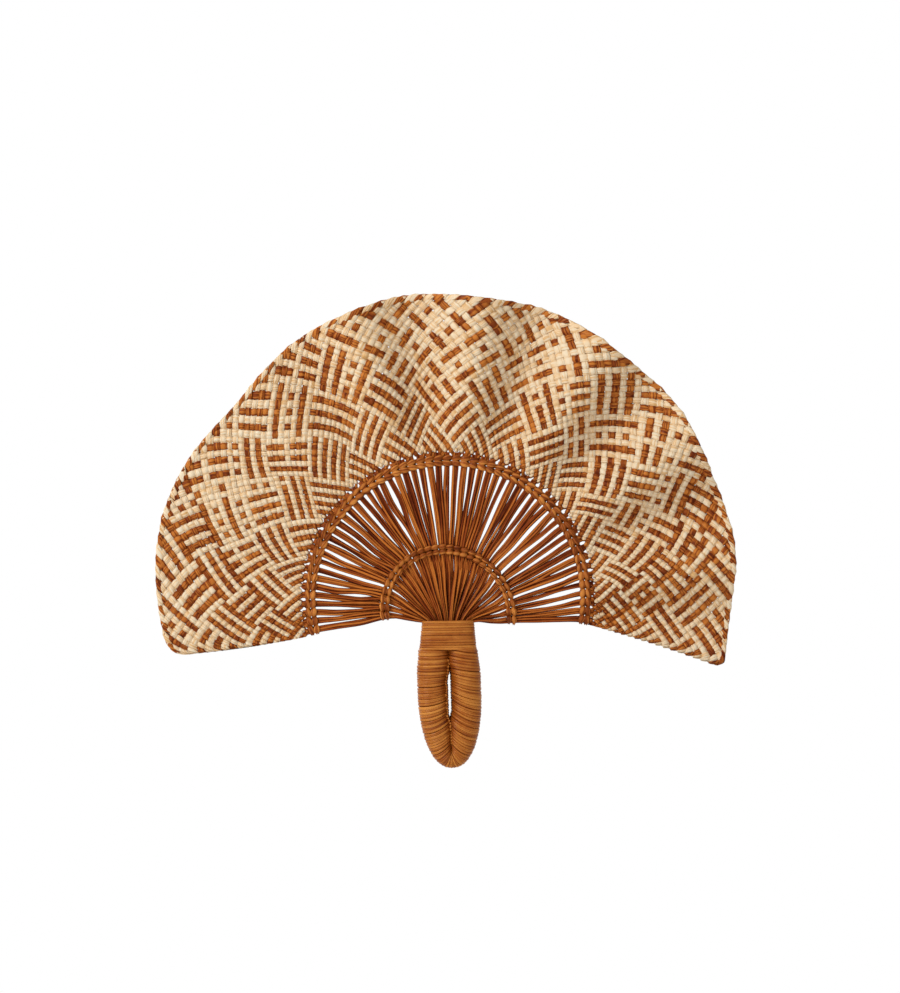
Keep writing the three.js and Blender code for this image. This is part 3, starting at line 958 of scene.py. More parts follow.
    def rim_radius(self, angle: Array) -> Array:
        """Radius of the rim for an angle at the band, in degrees.

        It is a circle with a crown at the top, a dent and a bulge at the left, and ripples that fade to the
        left.

        Args:
            angle: Angle at the band. The rim lies a twist clockwise of it.

        Returns:
            Radius.
        """
        end = angle - self.twist
        turn = 2 * np.pi * (end - self.ripple_dip) / self.ripple_period
        ripple = self.ripple_height * (1 - smoothstep(end, *self.wave_fade)) * np.cos(turn)
        radius = self.side_radius + self.crown * np.sin(np.radians(end)) - ripple
        radius = radius + self.shoulder.at(end) + self.cheek.at(end)
        arc = math.radians(1) * self.side_radius
        radius = radius - self.corner_cut((angle - RIGHT_ANGLE) * arc, self.right_corner)
        return radius - self.corner_cut((LEFT_ANGLE - angle) * arc, self.left_corner)

    def wave(self, angle: Array, radius: Array) -> Array:
        """Height of the ruffles towards the front: a cosine of the angle that grows from the band to the rim.

        It grows as 1 less a power of the share of the way that is left to the rim, so fastest near the band.

        Args:
            angle: Angle in degrees.
            radius: Radius.

        Returns:
            Height.
        """
        out = np.clip((radius - self.inner_radius) / (self.side_radius - self.inner_radius), 0, 1)
        height = mix(self.wave_height, self.wave_height_left, smoothstep(angle, *self.wave_fade))
        turn = 2 * np.pi * (angle - self.wave_ridge) / self.wave_period
        return height * (1 - (1 - out) ** self.wave_rise_power) * np.cos(turn)

    def at(self, centre: Array, row: Array) -> Array:
        """Point of the blade's middle surface at a strip count and a row count.

        The angle falls evenly with the strip count, with a slow sway, and the blade twists a little clockwise
        outwards. The radius grows from the band to the rim with steps that widen outwards.

        Args:
            centre: Strips from the left.
            row: Crossings from the band.

        Returns:
            Points.
        """
        share = row / self.rows
        out = (1 - self.row_growth) * share + self.row_growth * share**2
        sway = sum(np.sin(centre * across + out * along + phase) for across, along, phase in self.sway_sines)
        from_side = np.minimum(centre + 0.5, self.strips - 0.5 - centre)
        sway = self.sway * sway * np.clip(from_side / self.sway_margin, 0, 1)
        angle = LEFT_ANGLE - (centre + 0.5 + sway) * self.pitch
        radius = self.inner_radius + out * (self.rim_radius(angle) - self.inner_radius)
        turned = angle - self.twist * out
        return polar(self.centre_z, radius, np.radians(turned), -self.wave(turned, radius))

    def rows_of(self, lean: Lean, index: int) -> Pair:
        """First and last row of a strip: from the band or a side edge to the rim or a side edge.

        Args:
            lean: The strip's lean.
            index: Its number from the left.

        Returns:
            The two rows.
        """
        last = self.strips - 1
        to_side = index if lean is Lean.LEFT else last - index
        low = STRIP_MAKES[self.dye_of(lean, index)].start
        if to_side > last:
            low = 2 * (to_side - last) + self.side_start
        return low, min(self.rows + self.rim_end, 2 * to_side + self.side_end)

    def tail_row(self, lean: Lean, index: int) -> float | None:
        """Row at which a brown strip is pieced on with cream, if it is.

        Near the crown a block's middle one is, and elsewhere a few. The two lie one on the other where
        another strip passes over them.

        Args:
            lean: The strip's lean.
            index: Its number from the left.

        Returns:
            The row, or nothing for a strip of one dye.
        """
        side = 1 if lean is Lean.LEFT else -1
        at_rim = index - side * self.rows / 2
        inside = self.pale_span[0] < at_rim < self.pale_span[1]
        picked = self.rng.uniform() < self.pieced_share
        if inside:
            picked = self.places[self.source(lean, index)] == self.pale_place
        if not picked or self.dye_of(lean, index) is Dye.CREAM:
            return None
        later = 2 * int(self.rng.integers(0, self.pieced_steps))
        return (self.pale_row if inside else self.pieced_row) + later + (0 if lean is Lean.LEFT else 1)

    def strips_of(self, lean: Lean, index: int) -> list[tuple[Dye, Ribbon]]:
        """A strip with its dye, or its brown part and its cream tail.

        Args:
            lean: The strip's lean.
            index: Its number from the left.

        Returns:
            The dye and the ribbon of each part.
        """
        dye = self.dye_of(lean, index)
        low, high = self.rows_of(lean, index)
        tail = self.tail_row(lean, index)
        if tail is None or tail > high - self.shortest_tail:
            return [(dye, self.strip(lean, index, dye, low, high))]
        parts = ((Dye.BROWN, low, tail + self.splice), (Dye.CREAM, tail - self.splice, high))
        return [(part, self.strip(lean, index, part, *span)) for part, *span in parts]

    def strip(self, lean: Lean, index: int, dye: Dye, low: float, high: float) -> Ribbon:
        """One palm strip: it rides over and dips under at each row, puffs up on top and narrows in between.

        Args:
            lean: The strip's lean.
            index: Its number from the left.
            dye: Its dye, which sets how it is cut.
            low: First row.
            high: Last row.

        Returns:
            The strip's ribbon.
        """
        make = STRIP_MAKES[dye]
        row = np.linspace(low, high, max(self.fewest_rings, int((high - low) * self.samples) + 1))
        side = 1.0 if lean is Lean.LEFT else -1.0
        over = side * np.cos(np.pi * row)
        loose = 1 + drift(row, self.rng, *self.lift_drift)
        lift = self.crossing_lift * signed_power(over, self.lift_power) * loose
        width = make.width + self.barrel * (2 * over**2 - 1)
        width = width * (1 + self.width_spread * self.rng.normal())
        width = width * (1 + drift(row, self.rng, *self.width_drift))
        neck = mix(make.neck, 1.0, smoothstep(row, *self.neck_rows))
        ends = rounded_ends(row, *self.strip_end)
        across = LENS_ACROSS * (0.5 * width * neck * ends)[:, None]
        across = across + drift(row, self.rng, *self.course_drift)[:, None]
        centre = np.clip(index - side * row[:, None] / 2 + across / 2, -0.5, self.strips - 0.5)
        rows = np.minimum(row[:, None] + side * across, self.rows + self.rim_end)
        thick = 0.5 * self.strip_thickness * mix(self.thinned_end, 1.0, ends)
        lift = lift[:, None] * (1 - self.puff * LENS_ACROSS**2)
        rings = lifted(self.at, centre, rows, lift + LENS_THICK * thick[:, None])
        tone = self.rng.uniform(*self.tone_range) + drift(row, self.rng, *self.tone_drift)
        # Painted light and shade: lighter on the crests of the crossings, darker where the strip dips under
        return Ribbon(rings, np.clip(tone + self.crest_light_dip_shade * (over**2 - 0.5), 0, 1))

    def rim_fold(self, place: float) -> Ribbon:
        """A strip that turns over the rim, slanting as it goes from the front round to the back.

        Round the edge the depth inside the rim is half of (1 - cos) and the lift off the blade is sin of the
        turn. It is widest on the rim, where its middle bulges out.

        Args:
            place: Strips from the left, in the middle of the fold.

        Returns:
            The fold's ribbon.
        """
        turn = np.linspace(-self.fold_reach, self.fold_reach, self.fold_rings) * np.pi
        on_rim = np.cos(turn / 2) ** 2
        wider, aside, deeper = self.rng.uniform(-1, 1, 3)
        half = mix(*self.fold_half, on_rim) + self.fold_half_spread * wider
        half = half * rounded_ends(turn, *self.fold_end)
        middle = place + self.fold_place_spread * aside - self.fold_slant * turn / np.pi
        centre = middle[:, None] + LENS_ACROSS * half[:, None]
        centre = np.clip(centre, self.fold_margin - 0.5, self.strips - 0.5 - self.fold_margin)
        depth = (self.fold_depth + self.fold_depth_spread * deeper) * (1 - np.cos(turn)) / 2
        bulge = self.fold_bulge * (1 + self.fold_bulge_spread * wider) * on_rim
        inside = depth[:, None] - bulge[:, None] * (1 - LENS_ACROSS**2)
        steps_in = inside / (self.side_radius - self.inner_radius) / (1 + self.row_growth)
        row = self.rows * (1 + self.fold_clearance - steps_in)
        lift = self.fold_lift * np.sin(turn)[:, None] + 0.5 * self.fold_thickness * LENS_THICK
        return Ribbon(lifted(self.at, centre, row, lift), self.rng.uniform())

    def piece(self, part: str, dye: Dye) -> RibbonPiece:
        """The piece that takes one part's strips of one dye, made at its first use.

        Args:
            part: Name of the part.
            dye: The dye.

        Returns:
            The piece.
        """
        name = f"{part}_{dye.value}"
        if name not in self.pieces:
            self.pieces[name] = RibbonPiece(name, STRIP_MAKES[dye].finish, "palm_plait", ("woven_blade",))
        return self.pieces[name]

    def build(self) -> None:
        """Builds the strips of both leans and the folded rim, in cream and in brown."""
        folded = int(self.rows / 2) + 1
        for lean in Lean:
            first = 0 if lean is Lean.LEFT else -folded
            for index in range(first, first + self.strips + folded):
                for dye, strip in self.strips_of(lean, index):
                    self.piece(f"plait_{lean.value}", dye).ribbons.append(strip)
        for number in range(self.strips):
            dye = Dye.BROWN if number % 2 else Dye.CREAM
            self.piece("rim_fold", dye).ribbons.append(self.rim_fold(number))
        for piece in self.pieces.values():
            piece.build()


@dataclass
class RibSpray:
    """Bundles of thin strands, gathered in the collar and spread like rays to the band.

    A bundle forks into two tines, and each tine is a rib of two or three strands side by side. Places across
    a rib go from -1 to 1, and shares go along the stem, the ray or the whole strand. A drift is a pair of a
    height and a length.
    """

    # Places of the bundles
    bundles: int = 28
    layers: int = 3
    layer_step: float = 2.0
    root_reach: float = 13.45
    root_spread: float = 1.2
    root_depth: float = 10.0
    root_sink: Pair = (1.6, 0.4)
    hub_rise: float = 2.25
    knee_rise: float = 13.0
    ring_rise: float = 4.6
    ring_radius: float = 44.0
    ring_tilt: float = 0.065
    run_end: float = 88.7
    row_radius: float = 92.7
    tip_radius: float = 101.0

    # Places of the strands in a rib, and the gap between a bundle's ribs
    full_share: float = 0.8
    full_places: Triple = (-1.0, 0.0, 1.0)
    spare_places: Pair = (-0.62, 0.62)
    stem_gaps: Triple = (0.5, 1.0, 1.5)
    stem_spreads: tuple[Triple, Triple] = ((0.4, 0.45, 0.6), (0.7, 0.75, 0.7))
    ring_gap: float = 2.0
    ring_spread: float = 0.85
    band_spread: float = 1.28
    tip_spread: float = 1.2

    # Course of a strand: where it bends, its depth in the stem and its weave through ring and band
    root_narrowing: float = 0.95
    bend_length: float = 2.6
    bend_upwards: Pair = (0.2, 1.0)
    stem_shares: Pair = (0.38, 0.72)
    stem_depth: float = 3.2
    stem_flattening: Pair = (0.12, 0.1)
    side_flattening: float = 0.45
    ray_shares: Pair = (0.36, 0.7)
    weave_depth: float = 0.62
    ray_weaves: Pair = (0.7, 0.5)
    end_weave: float = 0.3

    # How loose the ribs and the strands lie: the last two of a strand's random pairs are spare
    sways: int = 6
    rib_sway: float = 0.45
    strand_pairs: int = 8
    strand_sway: float = 0.3
    stem_sway: float = 0.4
    ring_sway: float = 0.6
    root_jitter: float = 0.2
    depth_jitter: float = 0.5

    # Section and tone of a strand. The stem's tones are painted light on its front strands and painted shade
    # on those behind, fading out along the strand
    samples: int = 26
    strand_width: float = 1.92
    strand_thickness: float = 1.5
    width_shares: Pair = (0.82, 1.05)
    width_span: Pair = (0.3, 0.6)
    width_spread: float = 0.08
    width_drift: Pair = (0.06, 0.5)
    stem_light_and_shade: Pair = (0.2, -0.3)
    stem_shade_span: Pair = (0.35, 0.5)

    def __post_init__(self) -> None:
        """Takes the collar's top from the frame."""
        self.collar_top = collar_top()
        self.fan_centre = self.collar_top + FAN_RISE
        self.ring_centre = self.collar_top + self.ring_rise
        self.rng = np.random.default_rng(SEED + 1)

    def tine_angle(self, index: Array | float) -> Array:
        """Angle of a rib's end at the band, in radians, where ribs count from the left."""
        share = (np.asarray(index) + 0.5) / (2 * self.bundles)
        return np.radians(mix(LEFT_ANGLE, RIGHT_ANGLE, share))

    def upright(self, bundle: float) -> float:
        """How upright a bundle leaves the collar: from 0 at the sides to 1 in the middle, as a half sine."""
        return math.sin(math.pi * bundle / (self.bundles - 1))

    def knee(self, bundle: float) -> Array:
        """Where a bundle starts to spread: low at the sides and higher in the middle.

        Args:
            bundle: Number of the bundle from the left.

        Returns:
            Point.
        """
        x = mix(-self.root_reach, self.root_reach, bundle / (self.bundles - 1))
        z = self.collar_top + self.hub_rise + self.knee_rise * self.upright(bundle)
        return np.array([x, 0.0, z])

    def run_to(self, bundle: float) -> Array:
        """Where a bundle's straight run ends, just inside the band."""
        return polar(self.fan_centre, self.run_end, self.tine_angle(2 * bundle + 0.5))

    def at_ring(self, bundle: float) -> Array:
        """Where a bundle's straight run meets the inner ring: at the far root of the circle's equation.

        Args:
            bundle: Number of the bundle from the left.

        Returns:
            Point.
        """
        knee = self.knee(bundle)
        run = self.run_to(bundle) - knee
        off_centre = knee - np.array([0.0, 0.0, self.ring_centre])
        b = off_centre @ run / (run @ run)
        c = (off_centre @ off_centre - self.ring_radius**2) / (run @ run)
        return knee + run * (math.sqrt(b * b - c) - b)

    def ring_angle(self, bundle: float) -> float:
        """Angle at which a bundle passes the inner ring, about the ring's centre."""
        point = self.at_ring(bundle)
        return math.atan2(point[2] - self.ring_centre, point[0])

    def root(self, bundle: int, tine: int, aside: float, loose: Array) -> Array:
        """Where a strand comes out of the collar.

        The bundles lie in layers, and a bundle's ribs lie one behind the other. Towards the sides all of them
        come nearer to the middle of the collar's depth, and lower.

        Args:
            bundle: Number of the bundle from the left.
            tine: 0 for the left half of the bundle, 1 for the right.
            aside: How far to the right of its bundle's middle it lies.
            loose: Two random numbers, for its place and its depth.

        Returns:
            Point.
        """
        middle = self.knee(bundle)[0]
        layer = (bundle % self.layers - (self.layers - 1) / 2) * self.layer_step
        flattening = 1 - self.side_flattening * abs(middle) / self.root_reach
        x = self.root_spread * middle + aside + self.root_jitter * loose[0]
        y = (layer + (2 * tine - 1) * self.stem_depth) * flattening + self.depth_jitter * loose[1]
        return np.array([x, y, self.collar_top - mix(*self.root_sink, self.upright(bundle))])

    def course(self, bundle: int, tine: int, place: float, sway: Array, loose: Array) -> Array:
        """Points that a strand passes from inside the collar over its stem, the ring and its ray to the band.

        In the stem it goes from its depth to the middle, and from the ring on it weaves to the front or back.

        Args:
            bundle: Number of the bundle from the left.
            tine: 0 for the left half of the bundle, 1 for the right.
            place: Where it lies across its rib, from -1 to 1.
            sway: How far it sways off the straight at each place that can sway.
            loose: Two random numbers for its root.

        Returns:
            Points.
        """
        run = unit(self.run_to(bundle) - self.knee(bundle))
        across = np.array([run[2], 0.0, -run[0]])
        aside = np.array(self.stem_gaps) * tine + np.array(self.stem_spreads[tine]) * place
        root = self.root(bundle, tine, aside[0], loose)
        depth = np.array([0.0, root[1], 0.0])
        upwards = np.array([0.0, 0.0, mix(*self.bend_upwards, self.upright(bundle))])
        bend = root + self.bend_length * unit(run + upwards)
        start = bend - across * aside[0]
        middle = self.at_ring(bundle)
        middle[2] -= self.ring_tilt * middle[0]
        off_middle = self.ring_gap * (tine - 0.5) + self.ring_spread * place + self.ring_sway * sway[3]
        ring = middle + across * off_middle
        angle = self.tine_angle(2 * bundle + tine)
        tangent = np.array([math.sin(angle), 0.0, -math.cos(angle)])
        band = polar(self.fan_centre, self.row_radius, angle) + tangent * self.band_spread * place
        tip = polar(self.fan_centre, self.tip_radius, angle) + tangent * self.tip_spread * place
        weave = np.array([0.0, self.weave_depth * (1 if (round(place) + tine) % 2 else -1), 0.0])
        stem = [
            mix(start, middle, share) + across * off - flattening * depth
            for share, off, flattening in zip(
                self.stem_shares, aside[1:] + self.stem_sway * sway[1:3], self.stem_flattening
            )
        ]
        ray = [
            mix(ring, band, share) + across * swing + woven * weave
            for share, swing, woven in zip(self.ray_shares, sway[4:], self.ray_weaves)
        ]
        inside = root * (self.root_narrowing, 1.0, 1.0) - [0.0, 0.0, self.root_depth]
        ends = [band + self.end_weave * weave, tip + self.end_weave * weave]
        return np.array([inside, root, bend, *stem, ring + weave, *ray, *ends])

    def strand(self, bundle: int, tine: int, place: float, sway: Array) -> Ribbon:
        """One strand: up out of the collar, over its knee, through the ring and out to the band.

        Args:
            bundle: Number of the bundle from the left.
            tine: 0 for the left half of the bundle, 1 for the right.
            place: Where it lies across its rib, from -1 to 1.
            sway: How far its rib sways off the straight at each place that can sway.

        Returns:
            The strand's ribbon.
        """
        loose = self.rng.normal(0, 1, (self.strand_pairs, 2))
        sway = sway + self.strand_sway * loose[: self.sways, 0]
        line = smooth_course(self.course(bundle, tine, place, sway, loose[0]), self.samples)
        share = np.linspace(0, 1, self.samples)
        half = 0.5 * self.strand_width * mix(*self.width_shares, smoothstep(share, *self.width_span))
        half = half * (1 + self.width_spread * self.rng.normal())
        half = half * (1 + drift(share, self.rng, *self.width_drift))
        # Painted light on a stem's front strands and painted shade on the strands behind them, fading towards
        # the ring
        tone = self.rng.uniform() + self.stem_light_and_shade[tine] * (1 - smoothstep(share, *self.stem_shade_span))
        return Ribbon(tube(line, half, 0.5 * self.strand_thickness), np.clip(tone, 0, 1))

    def build(self) -> None:
        """Builds each bundle: two ribs of two or three strands."""
        for bundle in range(self.bundles):
            node = f"rib_bundle_{bundle + 1:02d}"
            piece = RibbonPiece(f"rib_strands_{bundle + 1:02d}", RIB_LEAF, "palm_rib", (node,))
            for tine in (0, 1):
                is_full = self.rng.uniform() < self.full_share
                sway = self.rng.normal(0, self.rib_sway, self.sways)
                for place in self.full_places if is_full else self.spare_places:
                    piece.ribbons.append(self.strand(bundle, tine, place, sway))
            piece.build()


@dataclass
class TwinedRow:
    """A row of twining: two weft strands that twist half a turn between neighbouring ribs.

    The crossing width is a share of the width. Ends, drifts and samples count in ribs: an end is a pair of
    the length over which a strand gets its full width and of its bluntness, and a drift is a pair of a height
    and a length.
    """

    name: str
    nodes: tuple[str, str]
    centre_z: float
    radius: float
    angles: Array
    strand_places: tuple[float, ...]
    width: float
    swing: float
    sway: float
    tones: Pair
    thickness: float
    crossing_width: float
    tilt: float = 0.0
    crossing_thickness: float = 0.8
    swing_power: float = 0.8
    width_power: float = 0.9
    ends: Pair = (0.3, 0.1)
    loose_drift: Pair = (0.12, 3.1)
    width_drift: Pair = (0.1, 2.3)
    tone_drift: Pair = (0.3, 9.0)
    samples: int = 12
    ribs_to_fold: int = 6

    def strand(self, phase: int, place: float, rng: np.random.Generator) -> Ribbon:
        """One weft strand: its depth is a cosine and its radius a sine, with a half turn from rib to rib.

        Args:
            phase: 0 for the strand that passes the first rib in front, 1 for the other.
            place: Offset of the strand from the row's middle.
            rng: Source of the small irregularities.

        Returns:
            The strand's ribbon.
        """
        ribs = len(self.angles)
        count = np.linspace(-0.5, ribs - 0.5, ribs * self.samples)
        angle = np.interp(count, np.arange(ribs), self.angles)
        angle = angle + np.minimum(count, 0) * (self.angles[1] - self.angles[0])
        angle = angle + np.maximum(count - ribs + 1, 0) * (self.angles[-1] - self.angles[-2])
        turn = np.pi * (count + phase)
        loose = 1 + drift(count, rng, *self.loose_drift)
        radius = self.radius + place + self.sway * np.sin(turn) * loose
        depth = -self.swing * signed_power(np.cos(turn), self.swing_power) * loose
        line = polar(self.centre_z, radius, angle, depth)
        line[:, 2] -= self.tilt * line[:, 0]
        full = np.abs(np.cos(turn)) ** self.width_power
        half = 0.5 * self.width * mix(self.crossing_width, 1.0, full) * rounded_ends(count, *self.ends)
        half = half * (1 + drift(count, rng, *self.width_drift))
        thick = 0.5 * self.thickness * mix(self.crossing_thickness, 1.0, full)
        rings = tube(line, half, thick, across=polar(0.0, 1.0, angle))
        tone = self.tones[phase] + drift(count, rng, *self.tone_drift)
        return Ribbon(rings, tone, fold=self.samples * self.ribs_to_fold)

    def build(self, rng: np.random.Generator) -> None:
        """Builds the row's two wefts, each a piece of its own.

        Args:
            rng: Source of the small irregularities.
        """
        for phase, node in enumerate(self.nodes):
            piece = RibbonPiece(f"{self.name}_{'ab'[phase]}", WEFT_LEAF, "palm_weft", (node,))
            piece.ribbons = [self.strand(phase, place, rng) for place in self.strand_places]
            piece.build()


@dataclass(frozen=True)
class Wrap:
    """A strip wound on a skin.

    Its width and its unevenness, by which the turns wander, are shares of a turn. The slit beads and shade
    say how much the turns bunch up at the slit and how much painted shade darkens them there, and facing is
    1 if the skin's normal points out of it, or -1.
    """

    turns: int
    width: float
    thickness: float
    uneven: float
    slit_beads_and_shade: float
    facing: float


@dataclass
class Grip:
    """The handle: a loop of gathered rib ends under a long winding, and the wound collar above it.

    A drift is a pair of a height and a length in turns or in knots. Powers below 1 make an oval squarer.
    """

    # Outline of the loop, with its lean in degrees
    loop_width: float = 42.8
    bend_height: float = 50.0
    lean: float = 2.0
    blunt: float = 0.85
    widest_drop: float = 16.0
    tuck: float = 3.0
    tuck_narrowing: float = 0.06
    tuck_thinning: float = 0.15
    leg_steps: int = 120
    bend_steps: int = 160
    stations: int = 400

    # Slit of the loop, and how the turns lie between it and the outline
    slit_half: float = 1.6
    slit_open: Pair = (-17.0, 15.5)
    slit_fade: float = 5.0
    slit_overlap: float = 0.5
    end_depth: float = 12.5
    turn_rise: Pair = (2.2, 9.5)
    rise_start: float = 20.0
    tip_softness: float = 1.2
    tip_fade: Pair = (-12.5, 3.0)
    slope: float = 2.0
    sag: float = 0.5

    # Section of the loop and of the collar
    leg_thickness: float = 20.4
    end_thickness: float = 18.4
    edge_power: float = 0.9
    face_powers: Pair = (0.6, 0.9)
    shoulder_drop: float = 14.0
    valley: float = 1.4
    collar_top_width: float = 36.0
    collar_bottom_width: float = 40.0
    collar_powers: Pair = (0.7, 0.55)

    # Windings: the beads at the slit and the painted shade there each have a span of minus the turn's cosine
    loop_wrap: Wrap = Wrap(turns=84, width=1.2, thickness=1.6, uneven=0.2, slit_beads_and_shade=1.0, facing=-1.0)
    collar_wrap: Wrap = Wrap(turns=12, width=1.2, thickness=1.1, uneven=0.15, slit_beads_and_shade=0.0, facing=1.0)
    samples: int = 28
    wander_length: float = 5.3
    width_drift: Pair = (0.08, 3.7)
    lift_drift: Pair = (0.14, 2.1)
    bead_span: Pair = (0.6, 1.0)
    bead_width: float = 0.15
    bead_thickness: float = 0.2
    wrap_tone: float = 0.55
    short_tone_drift: Pair = (0.28, 1.9)
    long_tone_drift: Pair = (0.2, 23.0)
    # Painted shade of the turns at the slit: its span and its strength
    slit_shade_span: Pair = (0.3, 1.0)
    slit_shade_tone: float = 0.6

    # Gathered rib ends inside the winding
    core_rings: int = 90
    core_sides: int = 32
    core_inset: float = 1.0
    core_ridges: int = 16
    ridge_height: float = 0.16
    core_tone: float = 0.3

    # Knots: their span is in shares of the loop, and their place is in half turns round it
    knots: int = 34
    knot_span: Pair = (0.045, 0.45)
    knot_place: float = 1.18
    knot_drift: Pair = (0.03, 4.3)
    knot_lift: float = 0.7
    knot_width: float = 2.1
    knot_waist: float = 0.3
    knot_width_drift: Pair = (0.25, 2.7)
    # Painted light on each knot's swell and painted shade in the waists between knots
    knot_light_and_shade: Pair = (0.2, 0.7)

    def __post_init__(self) -> None:
        """Takes the heights from the frame and works out the loop's edges at even steps of its outer edge."""
        self.rng = np.random.default_rng(SEED + 2)
        self.collar_low, self.collar_high = (float(corner[2]) for corner in node_box("collar_winding"))
        self.loop_low = float(node_box("handle_winding")[0][2])
        outer, turned = self.outer_edge()
        walk = lengths_along(outer)
        even = np.linspace(0, walk[-1], self.stations)
        self.outer = between(even, walk, outer)
        self.turned = np.interp(even, walk, turned)
        self.inner = self.inner_edge()

    def outer_edge(self) -> tuple[Array, Array]:
        """The left half of the loop's outline: a leg, which widens under the collar, and a quarter ellipse.

        Returns:
            Points from the collar to the bottom, and how far round the bend each is, from 0 to 1.
        """
        bend_start = self.loop_low + self.bend_height
        leg_z = np.linspace(self.collar_low + self.tuck, bend_start, self.leg_steps)
        widen = smoothstep(self.collar_low - leg_z, 0, self.widest_drop)
        width = mix(self.collar_bottom_width, self.loop_width, widen)
        leg_x = -width / 2 * (1 - self.tuck_narrowing * self.tucked(leg_z))
        turn = np.linspace(0, 1, self.bend_steps)[1:]
        bend_x = -self.loop_width / 2 * np.maximum(np.cos(turn * np.pi / 2), 0) ** self.blunt
        bend_z = bend_start - self.bend_height * np.sin(turn * np.pi / 2)
        x = np.append(leg_x, bend_x)
        points = np.stack([x, np.zeros_like(x), np.append(leg_z, bend_z)], axis=-1)
        return points, np.append(np.zeros_like(leg_z), turn)

    def tucked(self, z: Array) -> Array:
        """How far a place of a leg is tucked into the collar: 0 at the collar's edge, 1 at the leg's top."""
        return smoothstep(z - self.collar_low, 0, self.tuck)

    def inner_edge(self) -> Array:
        """The left edge of the slit: a turn's inner end lies higher than its outer one, down to its tip.

        Above the tip the height is a soft bend, the log of 1 plus exp, and it fades out to the tip below it.

        Returns:
            One point for each point of the outer edge.
        """
        tip = self.loop_low + self.end_depth
        outer_z = self.outer[:, 2]
        rise = mix(*self.turn_rise, smoothstep(-outer_z, -self.rise_start, -tip))
        wanted = outer_z + rise - tip
        soft = self.tip_softness * np.logaddexp(0, wanted / self.tip_softness)
        z = tip + soft * smoothstep(wanted, *self.tip_fade)
        low, high = self.slit_open
        gap = smoothstep(z, low - self.slit_fade, low + self.slit_fade)
        gap = gap * smoothstep(-z, -high - self.slit_fade, -high + self.slit_fade)
        return np.stack([mix(self.slit_overlap, -self.slit_half, gap), np.zeros_like(z), z], axis=-1)

    def loop_at(self, along: Array, around: Array) -> Array:
        """Point of the loop's skin: an oval between the inner and the outer edge.

        Args:
            along: From 0, at the top of the left leg, to 1, at the top of the right one.
            around: Angle round the leg, 0 on the outside and a half turn at the slit.

        Returns:
            Points.
        """
        down = (1 - np.abs(1 - 2 * np.clip(along, 0, 1))) * (self.stations - 1)
        steps = np.arange(self.stations)
        side = np.where(along > 0.5, -1.0, 1.0)
        inner, outer = between(down, steps, self.inner), between(down, steps, self.outer)
        turned = np.interp(down, steps, self.turned)
        reach = (outer - inner) / 2
        outwards = signed_power(np.cos(around), self.edge_power)
        point = (inner + outer) / 2 + reach * outwards[..., None]
        point[..., 2] += self.sag * reach[..., 2] * (1 - outwards**2)
        point[..., 2] -= self.slope * side * (1 - turned) * (1 - outwards) / 2
        shift = math.tan(math.radians(self.lean)) * np.maximum(self.collar_low - point[..., 2], 0)
        point[..., 0] = side * point[..., 0] + shift
        below = self.collar_low - outer[..., 2]
        power = mix(*self.face_powers, smoothstep(below, 0, self.shoulder_drop))
        power = np.where(outwards < 0, self.valley * power, power)
        thick = mix(self.leg_thickness, self.end_thickness, turned) - self.loop_wrap.thickness
        thick = thick * (1 - self.tuck_thinning * self.tucked(outer[..., 2]))
        point[..., 1] = thick / 2 * signed_power(np.sin(around), power)
        return point

    def collar_at(self, along: Array, around: Array) -> Array:
        """Point of the collar's skin: a flat oval that narrows upwards.

        Args:
            along: From 0, at the bottom, to 1, at the top.
            around: Angle round the collar.

        Returns:
            Points.
        """
        width = mix(self.collar_bottom_width, self.collar_top_width, along) - self.collar_wrap.thickness
        depth = self.leg_thickness - self.collar_wrap.thickness
        x = width / 2 * signed_power(np.cos(around), self.collar_powers[0])
        y = depth / 2 * signed_power(np.sin(around), self.collar_powers[1])
        return np.stack([x, y, mix(self.collar_low, self.collar_high, along)], axis=-1)

    def winding(self, surface: Surface, wrap: Wrap) -> Ribbon:
        """A strip wound on a skin: along grows by one turn's share each time that around goes once round.

        Args:
            surface: Skin that the strip lies on.
            wrap: The strip and its turns.

        Returns:
            The winding's ribbon.
        """
        turn = np.linspace(0, wrap.turns, wrap.turns * self.samples + 1)
        share = 1 / (wrap.turns + 1)
        along = (turn + 0.5 + drift(turn, self.rng, wrap.uneven, self.wander_length)) * share
        at_slit = -np.cos(2 * np.pi * turn)
        bead = wrap.slit_beads_and_shade * smoothstep(at_slit, *self.bead_span)
        width = wrap.width + drift(turn, self.rng, *self.width_drift) + self.bead_width * bead
        places = np.clip(along[:, None] + LENS_ACROSS * (0.5 * share * width)[:, None], 0.0, 1.0)
        around = np.broadcast_to(2 * np.pi * turn[:, None], places.shape)
        thick = 0.5 * wrap.thickness * (1 + self.bead_thickness * bead)
        lift = drift(turn, self.rng, *self.lift_drift)[:, None] + thick[:, None] * LENS_THICK
        tone = self.wrap_tone + drift(turn, self.rng, *self.short_tone_drift)
        tone = tone + drift(turn, self.rng, *self.long_tone_drift)
        # Painted shade: the turns darken towards the slit, where the legs turn inwards
        tone = tone - self.slit_shade_tone * wrap.slit_beads_and_shade * smoothstep(at_slit, *self.slit_shade_span)
        rings = lifted(surface, places, around, wrap.facing * lift)
        return Ribbon(rings, np.clip(tone, 0, 1), fold=self.samples)

    def core(self) -> Ribbon:
        """The gathered rib ends inside the winding: the loop's skin drawn in, with a ridge for each strand.

        Returns:
            The core's ribbon.
        """
        along = np.linspace(0, 1, self.core_rings)
        around = np.linspace(0, 2 * np.pi, self.core_sides, endpoint=False)
        along, around = np.meshgrid(along, around, indexing="ij")
        drawn_in = self.core_inset - self.ridge_height * np.cos(self.core_ridges * around)
        return Ribbon(lifted(self.loop_at, along, around, drawn_in), self.core_tone)

